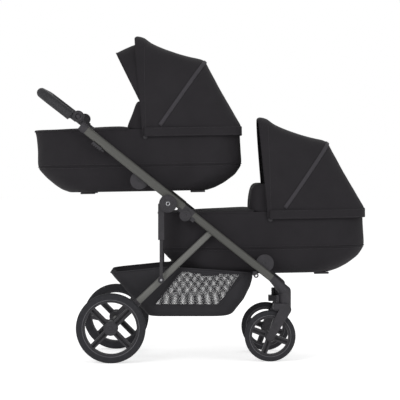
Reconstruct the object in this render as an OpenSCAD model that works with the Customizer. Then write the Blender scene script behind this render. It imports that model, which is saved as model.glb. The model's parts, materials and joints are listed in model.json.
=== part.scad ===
// Twin pram: a folding frame on four wheels that carries two carrycots, one above the other.
// The front of the pram is +X, its left side is +Y, and the floor is at Z = 0.

/* [Frame] */
// Slope of the two side lines of tubes, in degrees from level
frame_slope = 38.6; // [37:0.1:40]
// Height of the side tubes' line at the middle of the pram
frame_mid_h = 570; // [560:1:585]
// Width of a side tube, across the pram
tube_w = 20; // [18:1:24]
// Wall of a side tube
tube_wall = 2; // [1.5:0.5:3]
// Depth of a handle tube, seen from the side
handle_tube_depth = 35; // [32:1:36]
// Depth of a front tube, seen from the side
front_tube_depth = 31; // [29:1:33]
// Place of a handle tube's top end along the side line
handle_tube_top = -613; // [-625:1:-600]
// Height of a side tube's lower end above the front wheels' swivel seam
elbow_h = 102.5; // [98:0.5:108]
// Distance down the side line to the fold pivot
fold_at = -60; // [-66:1:-54]
// How far the fold pivot lies under the side line
fold_drop = 19.5; // [18:0.5:21]
// Radius of the fold pivot's discs
fold_disc_r = 24; // [22:1:25]
// Radius of the pins that the frame turns on
pivot_r = 6; // [5:0.5:7]

/* [Rear legs] */
// Place of the rear leg's pivot along the side line
leg_at = 64; // [58:1:70]
// How far the rear leg's pivot lies under the side line
leg_drop = 8; // [6:0.5:9]
// Width of a rear leg, across the pram
leg_w = 18; // [16:1:20]
// Depth of a rear leg, seen from the side
leg_depth = 27; // [25:1:30]
// Length of the moulded housing at a rear leg's foot
housing_len = 150; // [140:1:160]
// Thickness of the housing's wall
housing_wall = 3; // [2:0.5:3.5]
// Radius of the boss that holds the rear axle
axle_boss_r = 26; // [24:1:28]
// Radius of the tube between the rear legs
axle_tube_r = 10; // [9:0.5:12]
// Radius of the axle ends that carry the rear wheels
axle_r = 6; // [5:0.5:7]

/* [Fold struts] */
// Place of the strut's upper pivot along the side line
strut_at = -144; // [-148:1:-140]
// How far the strut's upper pivot lies under the side line
strut_drop = 26; // [25:0.5:28]
// Radius of the round cover over the strut's upper pivot
strut_cover_r = 36; // [34:1:38]
// Thickness of that cover
strut_cover_t = 6; // [4:1:8]
// Distance down the rear leg to the strut's foot
strut_foot_reach = 278; // [271:1:285]
// Width of the strut's sleeve, seen from the side
sleeve_w = 24.5; // [22:0.5:27]
// Width of the strut's rod, seen from the side
rod_w = 12.5; // [11:0.5:14]
// Thickness of the strut, across the pram
strut_t = 14; // [12:1:16]
// Length of the strut's sleeve
sleeve_len = 106; // [95:1:115]

/* [Rear wheels] */
// Diameter of a rear wheel
rear_wheel_d = 280; // [270:1:290]
// Width of a rear wheel's tyre
rear_wheel_w = 44; // [40:1:48]
// Place of the rear axle along the pram
rear_axle_x = -358; // [-365:1:-350]
// Depth of a rear tyre, from its tread to its rim
rear_tyre_t = 26; // [22:1:28]
// Radius of a rear wheel's hub
rear_hub_r = 29; // [26:1:32]

/* [Front wheels] */
// Diameter of a front wheel
front_wheel_d = 206; // [198:1:212]
// Width of a front wheel's tyre
front_wheel_w = 36; // [32:1:38]
// Depth of a front tyre, from its tread to its rim
front_tyre_t = 20; // [17:1:22]
// Radius of a front wheel's hub
front_hub_r = 22; // [20:1:24]
// Distance that the front axle trails behind the swivel
trail = 60.5; // [56:0.5:65]
// Distance from the tube's end forward to the swivel
elbow_reach = 54.5; // [52:0.5:58]
// How far the swivel lies inside the side tube's centre
swivel_inset = 26; // [25:1:30]
// Radius of the swivel's housing
swivel_r = 24; // [22:1:25]
// Radius of the swivel's pin
kingpin_r = 8; // [7:0.5:9]
// Thickness of a fork leg, across the pram
fork_t = 12; // [10:1:14]

/* [Handlebar] */
// Distance from a handle tube's top on to the handlebar's joint, along the side line
handle_ahead = 32; // [29:0.5:35]
// How far the joint lies above the side line
handle_rise = 23; // [21:0.5:24]
// Radius of the joint's discs
handle_disc_r = 23.5; // [22:0.5:25]
// Length of a handlebar arm, from its joint to the grip's centre
arm_len = 179.4; // [170:0.2:190]
// Slope of a handlebar arm, in degrees from level
arm_slope = 37.7; // [34:0.1:41]
// How far an arm's centre line lies under its joint
arm_drop = 16; // [13:0.5:18]
// Radius of the covered grip
grip_r = 20; // [19:0.5:22]
// Radius of the metal bar inside the grip
bar_r = 12; // [10:0.5:13]
// Radius of the bends at the grip's ends
grip_bend_r = 70; // [60:1:80]

/* [Carrycots] */
// Length of a carrycot
cot_len = 854; // [838:1:872]
// Width of a carrycot
cot_w = 408; // [396:1:420]
// Height of a carrycot, from its floor to its rim
cot_h = 254; // [244:1:264]
// Slope of a carrycot, in degrees, with its head end higher
cot_slope = 1; // [0:0.1:1.5]
// Thickness of a carrycot's padded wall
cot_wall = 8; // [6:1:10]
// How far the lower carrycot's adaptor lies ahead of the upper carrycot's head end, before their offsets
cot_apart = 46.2; // [42:0.1:54]
// Room between the carrycots, from the lower one's rim up, before their offsets
cot_clear = 123.7; // [118:0.1:133]
// How far the upper adaptor lies under the side line
upper_seat_drop = 26; // [24:0.5:28]
// Distance up the side line from a front tube's end to the lower carrycot's adaptor
lower_seat_back = 58.5; // [53:0.5:63]
// How far the lower adaptor lies above the side line
lower_seat_rise = 28.5; // [26:0.5:30]
// Radius of an adaptor's disc
adaptor_r = 30; // [28:1:32]
// Radius of the lug that a carrycot rests on
lug_r = 12; // [10:0.5:14]
// Height of a lug above the carrycot's floor
lug_z = 46.5; // [44:0.5:50]
// Thickness of the mattress
mattress_t = 40; // [30:1:50]

/* [Hoods] */
// Reach of a hood's front bow from its pivot
front_bow_len = 412; // [403:1:420]
// Slope of a hood's front bow, in degrees from level
front_bow_slope = 93.6; // [90:0.1:96]
// Reach of a hood's middle bow from its pivot
mid_bow_len = 391; // [383:1:398]
// Slope of a hood's middle bow, in degrees from level
mid_bow_slope = 51; // [47:0.1:55]
// Thickness of a bow
bow_t = 2.5; // [2:0.5:3]
// Depth of a bow
bow_depth = 6; // [5:0.5:8]
// Thickness of the hood's cloth with its lining
cloth_t = 2.5; // [2:0.5:3]
// How far the cloth dips between the front and middle bows
hood_dip_h = 15; // [10:1:30]
// Reach of the visor forward of the front bow
visor_reach = 82; // [60:1:95]
// How far the visor's root lies under the front bow's crown
visor_drop = 24; // [10:1:30]

/* [Basket] */
// Gap between the basket's top edge and the lower carrycot's floor
basket_gap = 4; // [3:0.5:8]
// Height of the basket
basket_h = 176; // [168:1:184]
// Length of the basket's top edge
basket_len = 576; // [560:1:585]
// Gap between the basket's top edge and a rear leg
basket_side_gap = 24; // [20:1:30]
// Height of the basket's front hooks, from its top edge up to the side tubes
hook_rise = 20.1; // [16:0.1:24]

/* [Hidden] */
$fn = 64;

// Clearances, and the overrun of every cut
run_gap = 0.05;
seat_gap = 0.3;
side_gap = 2;
overrun = 1;

// Layers across the pram, from the carrycot's side outwards
bow_gap = 0.5;
bow_side_gap = 2.5;
mid_bow_in = cot_w/2 + bow_side_gap + seat_gap;
front_bow_in = mid_bow_in + bow_t + bow_gap;
cloth_in = front_bow_in + bow_t + bow_gap;
cloth_out = cloth_in + cloth_t;
cot_side_gap = 18;
leg_in = cot_w/2 + cot_side_gap;
leg_out = leg_in + leg_w;
leg_y = leg_in + leg_w/2;
tube_in = leg_out + side_gap;
tube_out = tube_in + tube_w;
tube_y = tube_in + tube_w/2;
strut_in = tube_out + side_gap;
strut_out = strut_in + strut_t;
cover_in = strut_out + overrun;
cover_out = cover_in + strut_cover_t;
wheel_gap = 8;
rear_wheel_in = tube_out + wheel_gap;
rear_wheel_y = rear_wheel_in + rear_wheel_w/2;
swivel_y = tube_y - swivel_inset;
fork_gap = 3;
fork_leg_in = front_wheel_w/2 + fork_gap;
fork_leg_out = fork_leg_in + fork_t;

// Swivel heights: the seam between the fixed elbow and the turning fork
crown_gap = 6;
crown_t = 24;
seam_gap = 0.4;
crown_z = front_wheel_d + crown_gap;
seam_z = crown_z + crown_t;

// Places along the side line: the tubes' ends, the handlebar's joint and the carrycots' adaptors
front_tube_end = (frame_mid_h - seam_z - elbow_h)/sin(frame_slope);
handle_at = handle_tube_top - handle_ahead;
cot_spacing = max((cot_len/2 + cot_apart)/cos(frame_slope), (cot_h + cot_clear)/sin(frame_slope));
lower_seat_at = front_tube_end - lower_seat_back;
upper_seat_at = lower_seat_at - cot_spacing;

// Points in the side view, as [x, z]
function line_point(along, drop) = [
    along*cos(frame_slope) - drop*sin(frame_slope),
    frame_mid_h - along*sin(frame_slope) - drop*cos(frame_slope)];
function span(a, b) = norm(b - a);
function slope_of(a, b) = atan2(b[1] - a[1], b[0] - a[0]);
fold_point = line_point(fold_at, fold_drop);
strut_point = line_point(strut_at, strut_drop);
leg_point = line_point(leg_at, leg_drop);
handle_point = line_point(handle_at, -handle_rise);
rear_hub = [rear_axle_x, rear_wheel_d/2];
leg_len = span(rear_hub, leg_point);
leg_slope = slope_of(rear_hub, leg_point);
strut_foot = leg_point + (rear_hub - leg_point)*strut_foot_reach/leg_len;
tube_end_point = line_point(front_tube_end, 0);
swivel_x = tube_end_point[0] + elbow_reach;
front_hub = [swivel_x - trail, front_wheel_d/2];
upper_seat = line_point(upper_seat_at, upper_seat_drop);
lower_seat = line_point(lower_seat_at, -lower_seat_rise);

// Colours of the real materials
tube_grey = "#62625f";
plastic_black = "#3d3b3f";
rubber_black = "#3a3a3d";
leather_black = "#3d3d3f";
cloth_black = "#2d2b2e";
mesh_grey = "#5a5a5c";
steel_grey = "#a9a9ab";
mattress_grey = "#8b8a8c";

module left_and_right() {
    children();
    mirror([0, 1, 0]) children();
}

module right_side() mirror([0, 1, 0]) children();

// Places things along the side line of tubes, with their own z square to it
module on_line(along, drop = 0) {
    translate([0, 0, frame_mid_h]) rotate([0, frame_slope, 0]) translate([along, 0, -drop]) children();
}

// Places things down the rear leg from its pivot
module on_leg(reach = 0) {
    at_point(leg_point) rotate([0, 180 - leg_slope, 0]) translate([reach, 0, 0]) children();
}

module at_point(p) translate([p[0], 0, p[1]]) children();

// A round bar across the pram, from one distance from the middle to another
module cross_bar(p, r, from, to) {
    translate([p[0], from, p[1]]) rotate([-90, 0, 0]) cylinder(r = r, h = to - from);
}

module cross_ring(p, r_out, r_in, from, to) {
    difference() {
        cross_bar(p, r_out, from, to);
        cross_bar(p, r_in, from - overrun, to + overrun);
    }
}

module oval(w, depth) {
    square([w, depth - w], center = true);
    for (k = [-1, 1]) translate([0, k*(depth - w)/2]) circle(d = w);
}

module oval_bar(len, w, depth) rotate([90, 0, 90]) linear_extrude(len) oval(w, depth);

module oval_tube(len, w, depth, wall) {
    rotate([90, 0, 90]) linear_extrude(len) difference() {
        oval(w, depth);
        oval(w - 2*wall, depth - 2*wall);
    }
}

// Block with a range on each axis
module block(x, y, z) {
    translate([x[0], y[0], z[0]]) cube([x[1] - x[0], y[1] - y[0], z[1] - z[0]]);
}

// Front tubes: oval tubes from the fold to the front wheels, each with the rear leg's pin
front_tube_start = fold_at + fold_disc_r;
module front_tube() {
    color(tube_grey) {
        translate([0, tube_y, 0]) on_line(front_tube_start)
            oval_tube(front_tube_end - front_tube_start, tube_w, front_tube_depth, tube_wall);
        cross_bar(leg_point, pivot_r, leg_in, tube_in + tube_wall);
    }
}
module front_tube_left() front_tube();
module front_tube_right() right_side() front_tube();

// Swivel pin, and the tube between the two elbows
kingpin_len = 40;
cross_tube_r = 9;
cross_tube_seat = 8;
cross_tube_z = seam_z + swivel_r + cross_tube_r;
cross_tube_end = swivel_y - swivel_r + cross_tube_seat;

// Front cross tube: joins the two elbows
module front_cross_tube() {
    color(tube_grey) cross_bar([swivel_x, cross_tube_z], cross_tube_r, -cross_tube_end, cross_tube_end);
}

// Front elbows: bend the tube's line down to the upright swivel housing
elbow_stub = 10;
elbow_bend_h = 28;
elbow_top_z = tube_end_point[1] - elbow_reach/2;
elbow_bend_z = elbow_top_z - elbow_bend_h;
module elbow_stub_end(len) {
    translate([0, tube_y, 0]) on_line(front_tube_end) oval_bar(len, tube_w, front_tube_depth);
}
module front_elbow() {
    color(plastic_black) difference() {
        union() {
            hull($fn = 32) {
                elbow_stub_end(elbow_stub);
                translate([swivel_x, swivel_y, elbow_bend_z]) sphere(r = swivel_r);
            }
            translate([swivel_x, swivel_y, seam_z + seam_gap])
                cylinder(r = swivel_r, h = elbow_bend_z - seam_z - seam_gap);
        }
        translate([swivel_x, swivel_y, seam_z - overrun])
            cylinder(r = kingpin_r + run_gap, h = kingpin_len + seat_gap + overrun);
        cross_bar([swivel_x, cross_tube_z], cross_tube_r + run_gap, 0, cross_tube_end + run_gap);
    }
}
module front_elbow_left() front_elbow();
module front_elbow_right() right_side() front_elbow();

// Fold hubs and knuckles: two halves of a lapped hinge in the line of the tubes
lap_y = tube_y + side_gap;
neck_top = 5;
neck_over = 4;
neck_len = 40;
module fold_hub() {
    difference() {
        union() {
            cross_bar(fold_point, fold_disc_r, tube_in, lap_y - seat_gap);
            on_line(fold_at)
                block([0, neck_len], [tube_in, lap_y - seat_gap], [-fold_drop - neck_over, -neck_top]);
            on_line(front_tube_start + side_gap)
                block([0, neck_len - fold_disc_r], [tube_in, tube_out], [-fold_drop - neck_over, -neck_top]);
        }
        translate([0, tube_y, 0]) on_line(front_tube_start - seat_gap)
            oval_bar(neck_len, tube_w + run_gap, front_tube_depth + run_gap);
        cross_bar(fold_point, pivot_r + run_gap, tube_in - overrun, lap_y);
    }
}
module fold_hubs() color(plastic_black) left_and_right() fold_hub();

handle_tube_end = fold_at - fold_disc_r;
module fold_knuckle() {
    difference() {
        union() {
            cross_bar(fold_point, fold_disc_r, lap_y, tube_out + side_gap);
            on_line(fold_at - neck_len)
                block([0, neck_len], [lap_y, tube_out], [-fold_drop - neck_over, -neck_top]);
            on_line(handle_tube_end)
                block([0, front_tube_start - seat_gap - handle_tube_end], [lap_y, tube_out],
                    [-fold_drop, front_tube_depth/2]);
        }
        translate([0, tube_y, 0]) on_line(handle_tube_end - neck_len)
            oval_bar(neck_len + seat_gap, tube_w + run_gap, handle_tube_depth + run_gap);
    }
    cross_bar(fold_point, pivot_r, tube_in, lap_y);
}
module fold_knuckles() color(plastic_black) left_and_right() fold_knuckle();

// Handle tubes: oval tubes from the fold up to the handlebar
module handle_tube() {
    color(tube_grey) translate([0, tube_y, 0]) on_line(handle_tube_top)
        oval_tube(handle_tube_end - handle_tube_top, tube_w, handle_tube_depth, tube_wall);
}
module handle_tube_left() handle_tube();
module handle_tube_right() right_side() handle_tube();

// Strut hubs: blocks under the handle tubes, with the strut's pin and its round cover
module strut_hub() {
    difference() {
        cross_bar(strut_point, strut_cover_r - side_gap, tube_in, tube_out);
        translate([0, tube_y, 0]) on_line(handle_tube_top)
            oval_bar(handle_tube_end - handle_tube_top, tube_w + run_gap, handle_tube_depth + run_gap);
        on_line(strut_at - strut_cover_r)
            block([0, 2*strut_cover_r], [tube_in - overrun, tube_out + overrun], [0, strut_cover_r]);
    }
    cross_bar(strut_point, pivot_r, tube_out - overrun, cover_in + overrun);
    cross_bar(strut_point, strut_cover_r, cover_in, cover_out);
}
module strut_hubs() color(plastic_black) left_and_right() strut_hub();

// Bright rings in the middle of the strut covers
rivet_r = 9.5;
rivet_hole_r = 6.5;
rivet_t = 1.5;
module hub_rivets() {
    color(steel_grey) left_and_right()
        cross_ring(strut_point, rivet_r, rivet_hole_r, cover_out, cover_out + rivet_t);
}

// Handle collars: caps on the handle tubes' tops, each with half of the handlebar's joint
collar_len = 30;
collar_wall = 2;
module handle_collar() {
    difference() {
        union() {
            translate([0, tube_y, 0]) on_line(handle_tube_top - collar_wall)
                oval_bar(collar_len, tube_w + 2*collar_wall, handle_tube_depth + 2*collar_wall);
            cross_bar(handle_point, handle_disc_r, tube_in, tube_y - seat_gap);
            on_line(handle_at)
                block([0, handle_ahead], [tube_in, tube_y - seat_gap], [0, handle_rise]);
        }
        translate([0, tube_y, 0]) on_line(handle_tube_top)
            oval_bar(collar_len, tube_w + run_gap, handle_tube_depth + run_gap);
        cross_bar(handle_point, pivot_r + run_gap, tube_in - overrun, tube_y);
        cross_bar(handle_point, handle_disc_r + side_gap, tube_y - seat_gap, tube_out + 2*collar_wall);
    }
}
module handle_collars() color(plastic_black) left_and_right() handle_collar();

// Sockets: cradles on the tubes' inner faces that the carrycot adaptors drop into
lift_slope = 67.4;
socket_wall = 6;
socket_plate_t = 3;
socket_lip_share = 0.2;
adaptor_out = tube_in - socket_plate_t - seat_gap;
module socket(p) {
    r = adaptor_r + seat_gap;
    cross_bar(p, r + socket_wall, adaptor_out + seat_gap, tube_in);
    difference() {
        cross_ring(p, r + socket_wall, r, leg_in, adaptor_out + 2*seat_gap);
        at_point(p) rotate([0, -lift_slope, 0])
            block([-socket_lip_share*r, 2*r], [leg_in - overrun, tube_in], [-2*r, 2*r]);
    }
}
module upper_sockets() color(plastic_black) left_and_right() socket(upper_seat);
module lower_sockets() color(plastic_black) left_and_right() socket(lower_seat);

// Fold sliders: ribbed releases under the handle tubes
slider_down = 78;
slider_at = handle_tube_top + slider_down;
slider_len = 46;
slider_t = 14;
slider_ribs = 5;
slider_rib = 4;
slider_prong = 12;
slider_z = -handle_tube_depth/2 - seat_gap;
module fold_slider() {
    rib_step = slider_len/slider_ribs;
    translate([0, tube_y, 0]) on_line(slider_at) {
        block([0, slider_len], [-tube_w/2, tube_w/2], [slider_z - slider_t + slider_rib, slider_z]);
        for (k = [0 : slider_ribs - 1])
            block([k*rib_step, k*rib_step + rib_step/2], [-tube_w/2, tube_w/2],
                [slider_z - slider_t, slider_z - slider_t + 2*slider_rib]);
        block([slider_len - overrun, slider_len + slider_prong], [-tube_w/4, tube_w/4],
            [slider_z - slider_t + slider_rib, slider_z - slider_rib]);
    }
}
module fold_sliders() color(plastic_black) left_and_right() fold_slider();

// Handlebar: a bar bent round to both joints, with a covered grip over it
module on_arm() {
    at_point(handle_point) rotate([0, arm_slope - 180, 0]) translate([0, 0, arm_drop]) children();
}
module bent_bar(r, start) {
    straight = arm_len - grip_bend_r;
    on_arm() {
        left_and_right() {
            translate([start, tube_y, 0]) rotate([0, 90, 0]) cylinder(r = r, h = straight - start);
            translate([straight, tube_y - grip_bend_r, 0]) rotate_extrude(angle = 90)
                translate([grip_bend_r, 0]) circle(r = r);
        }
        translate([arm_len, 0, 0]) rotate([90, 0, 0])
            cylinder(r = r, h = 2*(tube_y - grip_bend_r), center = true);
    }
}
button_r = 19;
button_depth = 6;
button_proud = 4;
button_travel = 3;
button_floor = tube_out - button_depth;
module handlebar_core() {
    color(plastic_black) {
        difference() {
            bent_bar(bar_r, handle_disc_r - side_gap);
            left_and_right()
                cross_bar(handle_point, handle_disc_r + side_gap, tube_y - bar_r - overrun, tube_y);
        }
        left_and_right() {
            difference() {
                cross_bar(handle_point, handle_disc_r, tube_y, tube_out);
                cross_bar(handle_point, button_r + seat_gap, button_floor, tube_out + overrun);
            }
            cross_bar(handle_point, pivot_r, tube_in, tube_y + overrun);
        }
    }
}
grip_start = 26;
module handlebar_grip() {
    color(leather_black) difference() {
        bent_bar(grip_r, grip_start);
        bent_bar(bar_r + run_gap, grip_start - overrun);
    }
}

// Tilt buttons: pressed in to let the handlebar tilt
module tilt_button() {
    color(plastic_black)
        cross_bar(handle_point, button_r, button_floor + button_travel + seat_gap, tube_out + button_proud);
}
module tilt_button_left() tilt_button();
module tilt_button_right() right_side() tilt_button();

// Rear legs: from their pivots behind the front tubes down to the housings
stub_r = 7;
leg_tube_len = leg_len - axle_boss_r - seat_gap;
leg_seat = housing_len - axle_boss_r;
module rear_leg() {
    color(tube_grey) {
        difference() {
            union() {
                translate([0, leg_y, 0]) on_leg() oval_bar(leg_tube_len, leg_w, leg_depth);
                cross_bar(leg_point, leg_depth/2, leg_in, leg_out);
            }
            cross_bar(leg_point, pivot_r + run_gap, leg_in - overrun, leg_out + overrun);
        }
        cross_bar(strut_foot, stub_r, leg_out - overrun, strut_in - seat_gap);
    }
}
module rear_leg_left() rear_leg();
module rear_leg_right() right_side() rear_leg();

// Axle housings: moulded feet of the rear legs that hold the axle
module axle_housing() {
    difference() {
        union() {
            translate([0, leg_y, 0]) on_leg(leg_len - housing_len)
                oval_bar(housing_len, leg_w + 2*housing_wall, leg_depth + 2*housing_wall);
            cross_bar(rear_hub, axle_boss_r, leg_in - housing_wall, tube_out);
        }
        translate([0, leg_y, 0]) on_leg(leg_len - housing_len - overrun)
            oval_bar(leg_seat + overrun, leg_w + run_gap, leg_depth + run_gap);
        cross_bar(rear_hub, axle_r + run_gap, leg_in - 2*housing_wall, tube_out + overrun);
    }
}
module axle_housings() color(plastic_black) left_and_right() axle_housing();

// Rear axle: a cross tube with thinner ends for the wheels
hub_cap_t = 8;
rear_axle_end = rear_wheel_in + rear_wheel_w - hub_cap_t - seat_gap;
module rear_axle() {
    color(tube_grey) {
        cross_bar(rear_hub, axle_tube_r, housing_wall - leg_in, leg_in - housing_wall);
        cross_bar(rear_hub, axle_r, -rear_axle_end, rear_axle_end);
    }
}

// Brake pedal: turns on the rear axle and is pressed down behind it
pedal_half_w = 30;
pedal_ring_t = 6;
pedal_reach = 78;
pedal_t = 9;
pedal_pad = 34;
pedal_slope = 12;
module brake_pedal() {
    color(plastic_black) difference() {
        union() {
            cross_bar(rear_hub, axle_tube_r + pedal_ring_t, -pedal_half_w, pedal_half_w);
            at_point(rear_hub) rotate([0, pedal_slope, 0]) {
                block([-pedal_reach, 0], [-pedal_half_w/2, pedal_half_w/2], [-pedal_t/2, pedal_t/2]);
                block([-pedal_reach - pedal_pad/2, pedal_pad/2 - pedal_reach],
                    [-pedal_half_w, pedal_half_w], [-pedal_t/2, pedal_t]);
            }
        }
        cross_bar(rear_hub, axle_tube_r + run_gap, -pedal_half_w - overrun, pedal_half_w + overrun);
    }
}

// Wheels: a rounded tyre on a rim with four double spokes
tyre_round_share = 0.4;
rim_band = 10;
rim_inset = 5;
spoke_bar = 7;
spoke_gap = 9;
spoke_t_share = 0.4;
web_t_share = 0.1;
module tyre(d, w, t) {
    round_r = tyre_round_share*t;
    rotate([-90, 0, 0]) rotate_extrude() translate([d/2 - t, 0]) {
        translate([0, -w/2]) square([t - round_r, w]);
        translate([0, round_r - w/2]) square([t, w - 2*round_r]);
        for (k = [-1, 1]) translate([t - round_r, k*(w/2 - round_r)]) circle(r = round_r);
    }
}
module wheel_bar(r, from, to) rotate([-90, 0, 0]) translate([0, 0, from]) cylinder(r = r, h = to - from);
module rim(d, w, t, hub_r, bore_r, hub_in, turn) {
    rim_r = d/2 - t;
    half = w/2 - rim_inset;
    spoke_in = hub_r - spoke_bar;
    spoke_out = rim_r - rim_band/2;
    spoke_half = spoke_t_share*w;
    web_half = web_t_share*w;
    difference() {
        union() {
            difference() {
                wheel_bar(rim_r, -half, half);
                wheel_bar(rim_r - rim_band, -half - overrun, half + overrun);
            }
            wheel_bar(hub_r, -w/2 - hub_in, w/2);
            for (a = [0 : 90 : 270]) rotate([0, a + turn, 0]) {
                for (k = [-1, 1]) translate([0, 0, k*(spoke_gap + spoke_bar)/2])
                    block([spoke_in, spoke_out], [-spoke_half, spoke_half], [-spoke_bar/2, spoke_bar/2]);
                block([spoke_in, spoke_out], [-web_half, web_half],
                    [-spoke_gap/2 - overrun, spoke_gap/2 + overrun]);
            }
        }
        wheel_bar(bore_r, -w/2 - hub_in - overrun, w/2 - hub_cap_t);
    }
}
rear_hub_in = wheel_gap - side_gap;
rear_spoke_slope = 45;
module rear_place() translate([rear_hub[0], rear_wheel_y, rear_hub[1]]) children();
module rear_tyre() color(rubber_black) rear_place() tyre(rear_wheel_d, rear_wheel_w, rear_tyre_t);
module rear_rim() {
    color(plastic_black) rear_place()
        rim(rear_wheel_d, rear_wheel_w, rear_tyre_t, rear_hub_r, axle_r + run_gap, rear_hub_in,
            rear_spoke_slope);
}
module rear_tyre_left() rear_tyre();
module rear_tyre_right() right_side() rear_tyre();
module rear_rim_left() rear_rim();
module rear_rim_right() right_side() rear_rim();

// Front forks: a crown under the elbow's housing, a swivel pin and two legs down to the axle
front_axle_r = 5;
fork_foot_r = 16;
fork_top_r = 23;
crown_back = 48;
module fork_leg(from, to) {
    hull($fn = 32) {
        translate([front_hub[0], swivel_y + from, front_hub[1]]) rotate([-90, 0, 0])
            cylinder(r = fork_foot_r, h = to - from);
        translate([swivel_x + swivel_r - fork_top_r, swivel_y + from, crown_z]) rotate([-90, 0, 0])
            cylinder(r = fork_top_r, h = to - from);
    }
}
module fork() {
    color(plastic_black) difference() {
        union() {
            translate([swivel_x, swivel_y, crown_z]) cylinder(r = swivel_r, h = crown_t);
            block([swivel_x - crown_back, swivel_x], [swivel_y - fork_leg_out, swivel_y + fork_leg_out],
                [crown_z, seam_z]);
            translate([swivel_x, swivel_y, seam_z - overrun])
                cylinder(r = kingpin_r, h = kingpin_len + overrun);
            fork_leg(fork_leg_in, fork_leg_out);
            fork_leg(-fork_leg_out, -fork_leg_in);
        }
        cross_bar(front_hub, front_axle_r + run_gap, swivel_y - fork_leg_out - overrun,
            swivel_y + fork_leg_out + overrun);
        translate([swivel_x, swivel_y, seam_z]) difference() {
            cylinder(r = crown_back, h = kingpin_len);
            cylinder(r = kingpin_r, h = kingpin_len + overrun);
        }
    }
}
module fork_left() fork();
module fork_right() right_side() fork();

module front_axle() {
    color(steel_grey) cross_bar(front_hub, front_axle_r, swivel_y - fork_leg_out, swivel_y + fork_leg_out);
}
module front_axle_left() front_axle();
module front_axle_right() right_side() front_axle();

front_spoke_slope = 20;
module front_place() translate([front_hub[0], swivel_y, front_hub[1]]) children();
module front_tyre() color(rubber_black) front_place() tyre(front_wheel_d, front_wheel_w, front_tyre_t);
module front_rim() {
    color(plastic_black) front_place() difference() {
        rim(front_wheel_d, front_wheel_w, front_tyre_t, front_hub_r, front_axle_r + run_gap, 0,
            front_spoke_slope);
        wheel_bar(front_axle_r + run_gap, 0, front_wheel_w);
    }
}
module front_tyre_left() front_tyre();
module front_tyre_right() right_side() front_tyre();
module front_rim_left() front_rim();
module front_rim_right() right_side() front_rim();

// Swivel locks: ribbed slides behind the elbows, pushed up to lock the wheels straight
lock_len = 32;
lock_depth = 8;
lock_w = 18;
lock_ribs = 4;
lock_rib_r = 3.5;
lock_lug = 2;
module swivel_lock() {
    front_x = swivel_x - swivel_r - seat_gap;
    back_x = front_x - lock_depth;
    low_z = seam_z + seam_gap;
    rib_step = lock_len/lock_ribs;
    color(plastic_black) {
        block([back_x, front_x], [swivel_y - lock_w/2, swivel_y + lock_w/2], [low_z, low_z + lock_len]);
        for (k = [0 : lock_ribs - 1])
            translate([back_x, swivel_y - lock_w/2, low_z + (k + 1/2)*rib_step]) rotate([-90, 0, 0])
                cylinder(r = lock_rib_r, h = lock_w);
        block([back_x - lock_rib_r - lock_lug, back_x], [swivel_y - lock_w/4, swivel_y + lock_w/4],
            [low_z + lock_len/2 + lock_rib_r, low_z + lock_len/2 + 2*lock_rib_r]);
    }
}
module swivel_lock_left() swivel_lock();
module swivel_lock_right() right_side() swivel_lock();

// Fold struts: a sleeve under the round cover and a rod from it to the rear leg
strut_rise = strut_point[1] - strut_foot[1];
sleeve_start = 40;
strut_head_r = 30;
module on_strut(reach) {
    at_point(strut_foot) rotate([0, -90, 0]) translate([reach, 0, 0]) children();
}
sleeve_from = strut_rise - sleeve_start - sleeve_len;
module strut_sleeve() {
    difference() {
        union() {
            on_strut(sleeve_from)
                block([0, strut_rise - sleeve_from], [strut_in, strut_out], [-sleeve_w/2, sleeve_w/2]);
            cross_bar(strut_point, strut_head_r, strut_in, strut_out);
        }
        cross_bar(strut_point, pivot_r + run_gap, strut_in - overrun, strut_out + overrun);
        on_strut(sleeve_from - overrun)
            block([0, sleeve_len/2 + seat_gap + overrun], [strut_in + housing_wall, strut_out - housing_wall],
                [-rod_w/2 - run_gap, rod_w/2 + run_gap]);
    }
}
module strut_sleeves() color(plastic_black) left_and_right() strut_sleeve();
rod_eye_r = 13;
module strut_rods() {
    color(plastic_black) left_and_right() {
        on_strut(0) block([0, sleeve_from + sleeve_len/2],
            [strut_in + housing_wall + run_gap, strut_out - housing_wall - run_gap], [-rod_w/2, rod_w/2]);
        cross_bar(strut_foot, rod_eye_r, strut_in, strut_out);
    }
}

// Adaptors: discs that drop into the sockets, with a slot for the carrycot's lug
module adaptor(p) {
    difference() {
        cross_bar(p, adaptor_r, leg_in, adaptor_out);
        cross_bar(p, lug_r + seat_gap, leg_in - overrun, adaptor_out + overrun);
        at_point(p) rotate([0, -lift_slope, 0])
            block([0, 2*adaptor_r], [leg_in - overrun, adaptor_out + overrun],
                [-lug_r - seat_gap, lug_r + seat_gap]);
    }
}
module upper_adaptors() color(plastic_black) left_and_right() adaptor(upper_seat);
module lower_adaptors() color(plastic_black) left_and_right() adaptor(lower_seat);

// Lofts: stacked rings of points with rounded corners, closed at both ends
corner_steps = 6;
ring_n = 4*(corner_steps + 1);
function plan_ring(foot, head, half, r_foot, r_head, z) = [
    for (c = [[head, half, r_head, 0, 1, 1], [-foot, half, r_foot, 90, -1, 1],
              [-foot, -half, r_foot, 180, -1, -1], [head, -half, r_head, 270, 1, -1]])
    for (i = [0 : corner_steps])
    let (a = c[3] + 90*i/corner_steps)
    [c[0] - c[4]*c[2] + c[2]*cos(a), c[1] - c[5]*c[2] + c[2]*sin(a), z]];
function loft_faces(rings) = let (last = (rings - 1)*ring_n) concat(
    [for (k = [0 : rings - 2]) for (i = [0 : ring_n - 1])
        let (a = k*ring_n + i, b = k*ring_n + (i + 1)%ring_n)
        each [[a, b + ring_n, b], [a, a + ring_n, b + ring_n]]],
    [for (i = [1 : ring_n - 2]) [0, i, i + 1]],
    [for (i = [1 : ring_n - 2]) [last, last + i + 1, last + i]]);
module loft(rings) polyhedron(points = [for (r = rings) each r], faces = loft_faces(len(rings)));

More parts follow.
